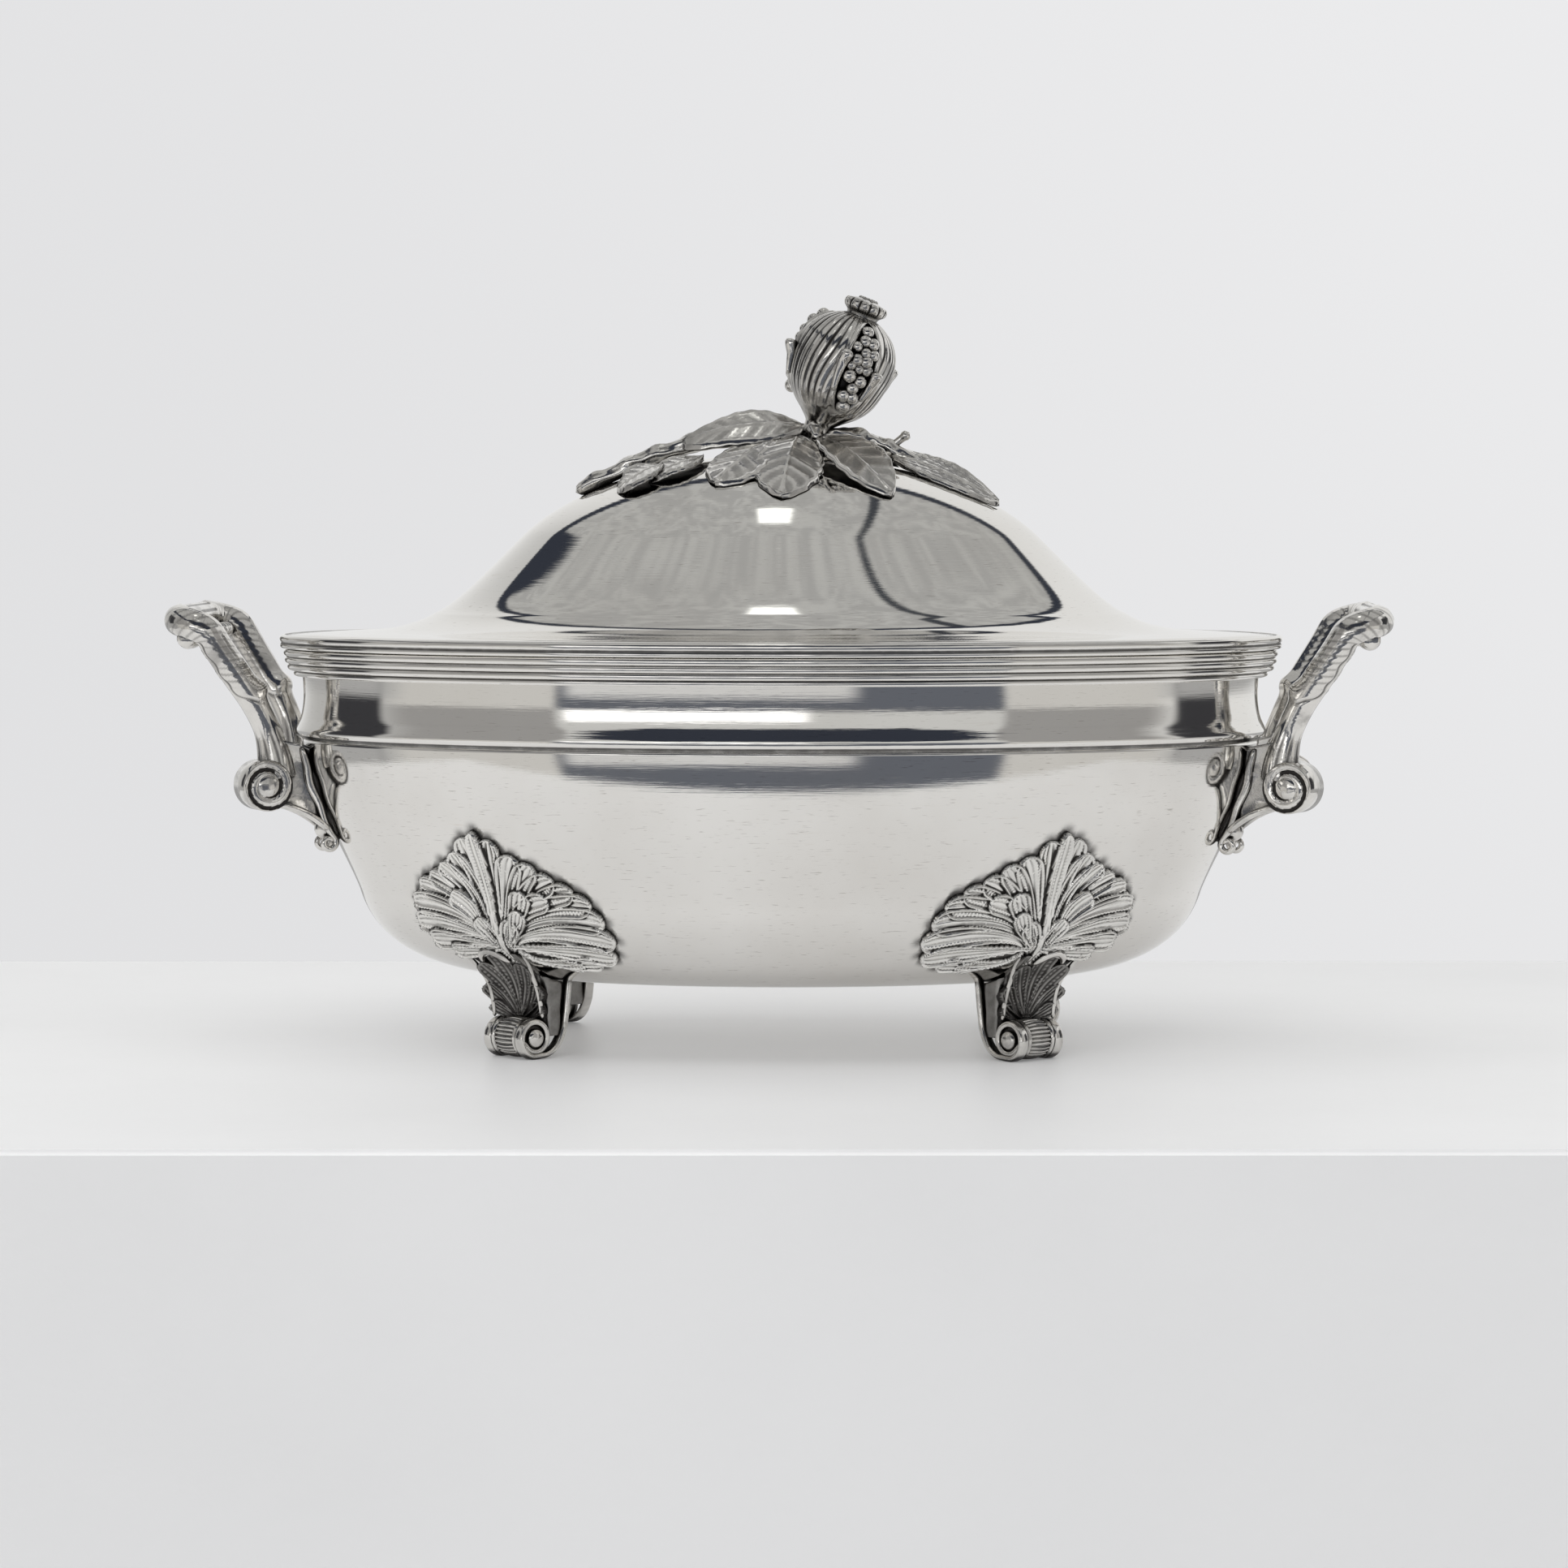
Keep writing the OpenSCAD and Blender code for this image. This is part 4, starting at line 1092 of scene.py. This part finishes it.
def fruit():
    """Pomegranate with fluted skin, split open over rows of seeds."""
    part = Casting()
    a = turn_angles(300)
    r, z = FRUIT_PATH[:, :1], FRUIT_PATH[:, 1:]
    body = smooth((z - 4) / 8)
    wander = 0.10 * np.sin(z / 7)
    flute = np.cos(36 * (a[None] + wander)) + 0.3 * np.cos(11 * (a[None] + 0.6 * wander))
    # painted shade in the grooves of the flutes
    push, dark = 0.12 * flute * body, 0.6 * smooth(-flute / 1.0) * body + 0.18
    for split in SPLITS:
        off = np.abs((a[None] - split + math.pi) % (2 * math.pi) - math.pi) * r
        gap = off - split_half(z)
        inside = smooth(-gap / 0.8) * (split_half(z) > 0.5)
        lip = np.exp(-((gap - 0.9) / 0.9) ** 2) * (split_half(z) > 0.8)
        push = push * (1 - inside) - 1.8 * inside + 0.9 * lip
        # painted shade inside each split, none on its raised lip
        dark = np.maximum(dark * (1 - lip), inside)
    rr = r + push
    part.grid(on_root(np.stack([rr * np.cos(a), rr * np.sin(a), np.broadcast_to(z, rr.shape)], -1)),
              recess=dark)
    rng = np.random.default_rng(4)
    for split in SPLITS:
        for i in range(9):
            up = FRUIT_MID - 11.5 + 3.0 * i
            wide = float(split_half(up))
            row = (-0.62, 0.62) if wide > 3.4 and i % 2 else ((-1, 0, 1) if wide > 4.4 else (0,))
            for k in row:
                size = 1.75 + 0.4 * rng.random() + (0.3 if len(row) < 3 else 0)
                out = float(skin_r(up)) - 0.7 + 0.5 * rng.random()
                turn_by = split + (k * wide * 0.6 + 1.2 * rng.random() - 0.6) / out
                seed_z = up + 1.2 * rng.random() - 0.6
                seed = on_root((out * math.cos(turn_by), out * math.sin(turn_by), seed_z))
                part.ball(seed, size)
        # skin curled back at both sides of the split
        for k, top in ((-1, 5.5), (1, 2.0)):
            up = np.linspace(-9, top, 24)
            zz = FRUIT_MID + up
            out = skin_r(zz) + 0.6 + 1.5 * smooth((up - top + 5) / 5)
            turn_by = split + k * (split_half(zz) + 1.3) / out
            curl = np.stack([out * np.cos(turn_by), out * np.sin(turn_by), zz], 1)
            width = 1.0 + 1.1 * smooth((up + 9) / (top + 9))
            part.tube(on_root(curl), width, 14, blunt=0.12)
    part.make("pomegranate", "lid", ["finial_fruit"])


def crown():
    """Scalloped calyx on top of the fruit, filled with small beads."""
    part = Casting()
    a = turn_angles(144)
    outline = spline([(5.9, -2.2), (5.2, -0.4), (5.4, 1.2), (6.6, 2.0), (7.0, 3.2), (6.7, 4.4),
                      (5.4, 5.4), (3.2, 6.0), (1.2, 6.2), (0.1, 6.2)], 5)
    r, z = outline[:, :1], outline[:, 1:]
    petals = np.abs(np.cos(a * 6))[None]
    far_out = smooth((r - 5.2) / 1.4) * (z > 0.6)
    rr = r * (1 + far_out * (0.09 * petals - 0.05))
    zz = z + FRUIT_MID + FRUIT_R + far_out * 0.5 * petals
    # painted shade in the gaps between the scallops
    part.grid(on_root(np.stack([rr * np.cos(a), rr * np.sin(a), zz + 0 * rr], -1)),
              recess=far_out * (petals < 0.3) * 0.8)
    for k in range(11):
        b = k * GOLDEN_ANGLE
        d = 0.95 * math.sqrt(k)
        bead = on_root((d * math.cos(b), d * math.sin(b), FRUIT_MID + FRUIT_R + 6.0))
        part.ball(bead, 0.8, 8)
    part.make("calyx", "lid", ["finial_crown"])


def root():
    """Leaning stem under the fruit, with four roots that run onto the lid."""
    part = Casting()
    p = spline([(ROOT_X - 1, 0, 185.5), (ROOT_X, 0, 190), (ROOT_X + 0.3, 0, 195),
                (ROOT_X + 1.2, 0, ROOT_TOP - 0.5), (ROOT_X + 2.0, 0, ROOT_TOP + 2)], 8)
    p = p[p[:, 2] > 190.2]
    bumps = np.linspace(0, 1, len(p))
    part.tube(p, 6.0 - 2.3 * smooth(bumps * 1.2), 36, blunt=0.02, recess=0.35)
    for lean, reach in ((2.9, 9), (0.2, 8), (-1.4, 6), (1.4, 6)):
        q = np.linspace(0, 1, 12)
        x, y = ROOT_X + np.cos(lean) * (2 + reach * q), np.sin(lean) * (2 + reach * q)
        top = ROOT_TOP - 1.5 - 2.5 * q
        z = np.maximum(top, lid_z(x, y) + 2.0)
        part.tube(np.stack([x, y, z], 1), 3.2 - 1.6 * q, 18, blunt=0.05, recess=0.3)
    part.make("root_boss", "lid", ["finial_root"])


def twig(name, replaces, stops, width, knots, spur=None):
    """Knotted branch over the dome; stops are x, y and clearance above the lid.

    spur is the place along the branch, direction and length of a side shoot.
    """
    part = Casting()
    p = spline(stops, 14)
    n = len(p)
    t = np.linspace(0, 1, n)
    r = width * (1 - 0.35 * t)
    for k in knots:
        r = r + 0.13 * width * np.exp(-((t - k) / 0.035) ** 2)
    path = np.stack([p[:, 0], p[:, 1], lid_z(p[:, 0], p[:, 1]) + p[:, 2] + r * 0.9], 1)
    a = turn_angles(28)[None]
    bark = 0.07 * np.cos(a * 5 + t[:, None] * 24) + 0.03 * np.sin(a * 3 - t[:, None] * 60)
    radii = r * np.maximum(tapered(n, 0.04), 0.05)
    # painted shade in the grooves of the bark
    part.grid(swept(path, circle(28), None, radii, 1 + bark), recess=smooth(-bark / 0.08) * 0.5)
    if spur:
        at, way, long = spur
        start = path[int(at * n)]
        q = np.linspace(0, 1, 10)
        line = start + q[:, None] * np.array(way) * long
        part.tube(line, 1.3 + 0.5 * smooth((q - 0.6) * 4), 14, blunt=0.2)
    part.make(name, "lid", replaces)


def leaf(name, replaces, spine, width, fold=0.0, roll=0.0, wave=0.5, veins=7, full=0.5):
    """Veined leaf; spine points are x, y and clearance above the lid.

    full is the place along the leaf where it is widest; fold lifts both edges, roll tips it.
    """
    p = spline(spine, 12)
    n = len(p)
    t = np.linspace(0, 1, n)
    v = np.linspace(-1, 1, 41)
    way = headings(p[:, :2])
    across = np.stack([-way[:, 1], way[:, 0]], 1)
    share = np.where(t < full, t / full / 2, 0.5 + (t - full) / (1 - full) / 2)
    half = width / 2 * (np.sin(share * math.pi) ** 0.62) + 0.15
    half = half[:, None] * (1 + 0.035 * np.sin(t * 46)[:, None] * (np.abs(v) > 0.5))
    plan = p[:, None, :2] + across[:, None] * (half * v)[..., None]
    base = lid_z(plan[..., 0], plan[..., 1])
    rib = np.exp(-(v * half / 0.5) ** 2)
    phase = (t[:, None] * veins - np.abs(v) * 1.15) % 1.0
    line = np.exp(-((phase - 0.5) / 0.13) ** 2) * smooth((1 - np.abs(v)) / 0.15)
    rim = np.exp(-((np.abs(v) - 0.93) / 0.07) ** 2)
    lift = (p[:, 2:] + fold * np.abs(v) ** 1.5 * half / 4 + roll * v * half
            + wave * np.sin(t[:, None] * 9 + v * 2) * np.abs(v) * 0.6)
    top = base + np.maximum(lift, 0.1) + 1.5 + 0.35 * rib + 0.22 * line + 0.42 * rim
    top = top - 1.2 * (1 - smooth((1 - np.abs(v)) / 0.05))
    under = base + np.maximum(lift, 0.1)
    sheet_top = np.stack([plan[..., 0], plan[..., 1], top], -1)
    sheet_low = np.stack([plan[..., 0], plan[..., 1], under], -1)
    rounded_leaf = np.concatenate([sheet_top, sheet_low[:, ::-1]], 1)
    # painted shade over the leaf's top, lighter on its raised veins, rib and rim, and heavier on its
    # underside
    dark = np.clip(0.42 - 0.45 * line - 0.5 * rib - 0.6 * rim, 0, 1)
    part = Casting()
    part.grid(rounded_leaf, recess=np.concatenate([dark, np.full(dark.shape, 0.6)], 1))
    part.make(name, "lid", replaces)


fruit()
crown()
root()
twig("branch_left", ["twig_left"],
     [(7, -1, 3.0), (-8, -2, 3.0), (-24, -3.5, 3.0), (-38, -4, 2.0), (-52, -3.5, 0.8),
      (-66, -2, 0.1)], 3.4, (0.25, 0.45, 0.62, 0.75, 0.9))
twig("branch_right", ["twig_right"],
     [(14, 0, 2.4), (24, -1, 4.0), (33, -1, 3.0), (44, -1, 1.2), (53, 0, 0.2)],
     3.3, (0.3, 0.55, 0.8), (0.56, (0.8, -0.1, 0.6), 8.5))
leaf("leaf_front_left", ["leaf_1"],
     [(0, -9, 3.6), (-7, -18, 2.6), (-13, -27, 1.2), (-19, -36, 0.5)], 20, -0.3, full=0.62)
leaf("leaf_front", ["leaf_2"],
     [(6, -9, 4.6), (5, -20, 3.6), (3.5, -32, 1.6), (2.5, -44, 0.6)],
     22, -0.5, wave=0.3, full=0.58)
leaf("leaf_front_right", ["leaf_3"],
     [(14, -7, 4.6), (21, -16, 3.8), (29, -26, 1.8), (37, -36, 0.3)], 19, 0.7, 0.12)
leaf("leaf_long_right", ["leaf_4"],
     [(36, -3, 2.6), (47, -6, 2.4), (59, -7.5, 1.8), (71, -7, 0.9)], 14, 0.2, 0.42, veins=11)
leaf("leaf_small_left", ["leaf_5"],
     [(-37, -17, 1.2), (-42, -20, 1.8), (-47, -23, 1.2), (-51, -24, 0.4)], 15, 0.4, full=0.45)
leaf("leaf_over_branch", ["leaf_6"],
     [(8, -5, 7.5), (-4, -7, 8.4), (-17, -9, 8.0), (-31, -9, 5.4)], 10, -0.2, -0.8, veins=8)
leaf("leaf_small_left_back", [],
     [(-24, -15, 0.8), (-30, -19, 1.2), (-36, -22, 1.0), (-41, -24, 0.2)], 13, 0.4)
leaf("leaf_back_left", ["leaf_7"],
     [(4, 6, 4.0), (-4, 17, 2.5), (-13, 28, 1.0), (-20, 38, 0.3)], 17, 0.3)
leaf("leaf_back", ["leaf_8"],
     [(11, 8, 4.0), (11, 20, 2.5), (10, 32, 1.2), (9, 44, 0.4)], 19, -0.3)
leaf("leaf_back_right", ["leaf_9"],
     [(17, 6, 4.0), (25, 14, 2.5), (33, 23, 1.2), (41, 32, 0.3)], 17, 0.4)


# ---- Stage --------

CAMERA_FAR = 1.70
CAMERA_SIDE = 0.075
CAMERA_UP = 0.180
TABLE_FRONT, TABLE_BACK = 0.282, 0.288

turn = math.atan2(CAMERA_SIDE, CAMERA_FAR)
camera = bpy.data.objects.new("camera", bpy.data.cameras.new("camera"))
bpy.context.scene.collection.objects.link(camera)
camera.location = (CAMERA_FAR * math.sin(turn), -CAMERA_FAR * math.cos(turn), CAMERA_UP)
camera.rotation_euler = (math.radians(90 - 3.24), 0, turn - 0.0008)
camera.data.lens = 120.4
camera.data.sensor_width = 36
bpy.context.scene.camera = camera


def plinth_material():
    material, tree, shader = new_material("plinth_paint")
    spot, _ = axes(tree, "Object")
    shader.inputs["Roughness"].default_value = 0.42
    shader.inputs["Specular IOR Level"].default_value = 0.22
    tone = noise(tree, spot, 3.5, 5, 0.6)
    # painted light: the plinth glows faintly, a fill that lifts the shade under the tureen and on its
    # front face
    shader.inputs["Emission Color"].default_value = (1, 1, 1, 1)
    shader.inputs["Emission Strength"].default_value = 0.16
    plug(tree, shader.inputs["Base Color"],
         mix(tree, tone.ramp(0.35, 0.7), (0.80, 0.80, 0.805), (0.76, 0.76, 0.765)))
    plug(tree, shader.inputs["Normal"], bump(tree, noise(tree, spot, 260, 3), 0.12 * MM))
    return material


def plinth():
    """White painted block that the tureen stands on, its front edge square to the camera."""
    bm = bmesh.new()
    bmesh.ops.create_cube(bm, size=1)
    bmesh.ops.scale(bm, vec=(1.0, TABLE_FRONT + TABLE_BACK, 1.2), verts=bm.verts)
    bmesh.ops.translate(bm, vec=(0, (TABLE_BACK - TABLE_FRONT) / 2, -0.6), verts=bm.verts)
    bmesh.ops.bevel(bm, geom=bm.edges[:], offset=0.0015, segments=3, affect="EDGES")
    mesh = bpy.data.meshes.new("plinth")
    bm.to_mesh(mesh)
    bm.free()
    block = bpy.data.objects.new("plinth", mesh)
    bpy.context.scene.collection.objects.link(block)
    block.rotation_euler.z = turn
    mesh.materials.append(plinth_material())


plinth()


def studio():
    """The room that the silver mirrors; the camera itself sees a pale backdrop with painted light,
    lighter upwards and to the right.
    """
    world = bpy.data.worlds.new("studio")
    bpy.context.scene.world = world
    world.use_nodes = True
    tree = world.node_tree
    _, (x, y, z) = axes(tree, "Generated")
    up = z.max(0.001)
    u, v = x / up, y / up
    side = x.op("ARCTAN2", y * -1) * (180 / math.pi)        # 0 towards the camera, + to the right
    rise = z.op("ARCSINE") * (180 / math.pi)
    back = y.ramp(-0.25, 0.05)

    # walls: white behind and at the sides, a dark camera side with a window left of its middle
    middle = side.abs().ramp(40, 38)
    below = mix(tree, middle, (0.62, 0.61, 0.59), (0.13, 0.14, 0.165))
    low_window = side.within(-37, 12, 2) * rise.within(-14, -6, 1)
    below = mix(tree, low_window, below, (0.68, 0.68, 0.68))
    above = mix(tree, middle, (0.34, 0.335, 0.33), (0.62, 0.62, 0.61))
    sill = side.within(-37, 39, 1.5) * rise.within(-1, 1.0, 0.6)
    above = mix(tree, sill, above, (0.14, 0.14, 0.15))
    window = side.within(-37, 4, 1.2) * rise.within(0.8, 9, 0.6)
    above = mix(tree, window, above, (1.6, 1.6, 1.6))
    front = mix(tree, rise.ramp(-0.6, 0.6), below, above)
    walls = mix(tree, x.ramp(-0.8, -0.2), (0.50, 0.50, 0.495), (0.82, 0.82, 0.815))
    walls = mix(tree, back, front, walls)
    walls = mix(tree, side.abs().within(88, 116, 2.5) * rise.ramp(30, 24), walls,
                (0.045, 0.045, 0.05))

    # ceiling: grey boards in a dark frame, two lamps and a cable
    ceiling = z.ramp(0.0, 0.02) * u.within(-1.15, 1.15, 0.02) * v.within(-3.0, 0.9, 0.02)
    inner = z.ramp(0.0, 0.02) * u.within(-0.86, 1.06, 0.02) * v.within(-0.95, 0.74, 0.02)
    boards_at, _ = axes(tree, "Generated", (7, 2.2, 1))
    grain = noise(tree, boards_at, 2.2, 3, 0.5, 1.2)
    rings = (grain * 26).op("SINE") * 0.5 + 0.5
    wood = mix(tree, rings.ramp(0.2, 0.9), (0.40, 0.40, 0.395), (0.50, 0.50, 0.49))
    lamp_rows = v.within(-0.67, -0.52, 0.01) + v.within(-0.15, 0.10, 0.01)
    lamps = u.within(-0.09, 0.01, 0.01) * lamp_rows
    cable = (u + v * 0.10 - 0.26).abs().ramp(0.02, 0.012)
    wood = mix(tree, cable, wood, (0.05, 0.055, 0.065))
    wood = mix(tree, lamps, wood, (1.6, 1.62, 1.58))
    room = mix(tree, ceiling, walls, (0.035, 0.04, 0.055))
    room = mix(tree, inner, room, wood)
    floor = rise.ramp(-2, -6) * back
    room = mix(tree, floor, room, (0.42, 0.42, 0.42))

    eye = Value(tree, tree.nodes.new("ShaderNodeLightPath").outputs["Is Camera Ray"])
    # painted light on the backdrop: lighter upwards and to the right
    seen = mix(tree, (rise + x * 60).ramp(-14, 14), (0.755, 0.755, 0.765), (0.835, 0.835, 0.845))
    room = mix(tree, eye, room, seen)
    background = tree.nodes["Background"]
    plug(tree, background.inputs["Color"], room)


studio()


def soft_light(name, place, aim, size, power):
    """Large area light that the silver does not mirror."""
    data = bpy.data.lights.new(name, "AREA")
    data.shape = "RECTANGLE"
    data.size, data.size_y = size
    data.energy = power
    light = bpy.data.objects.new(name, data)
    bpy.context.scene.collection.objects.link(light)
    light.location = place
    light.rotation_euler = (Vector(aim) - Vector(place)).to_track_quat("-Z", "Y").to_euler()
    light.visible_camera = False
    light.visible_glossy = False


soft_light("overhead", (-0.3, -0.5, 2.0), (0, 0, 0), (3.2, 2.6), 22)
soft_light("from_front", (-0.4, -3.0, 0.9), (0, 0, -0.3), (2.4, 1.8), 27)

bpy.context.scene.view_settings.view_transform = "Standard"
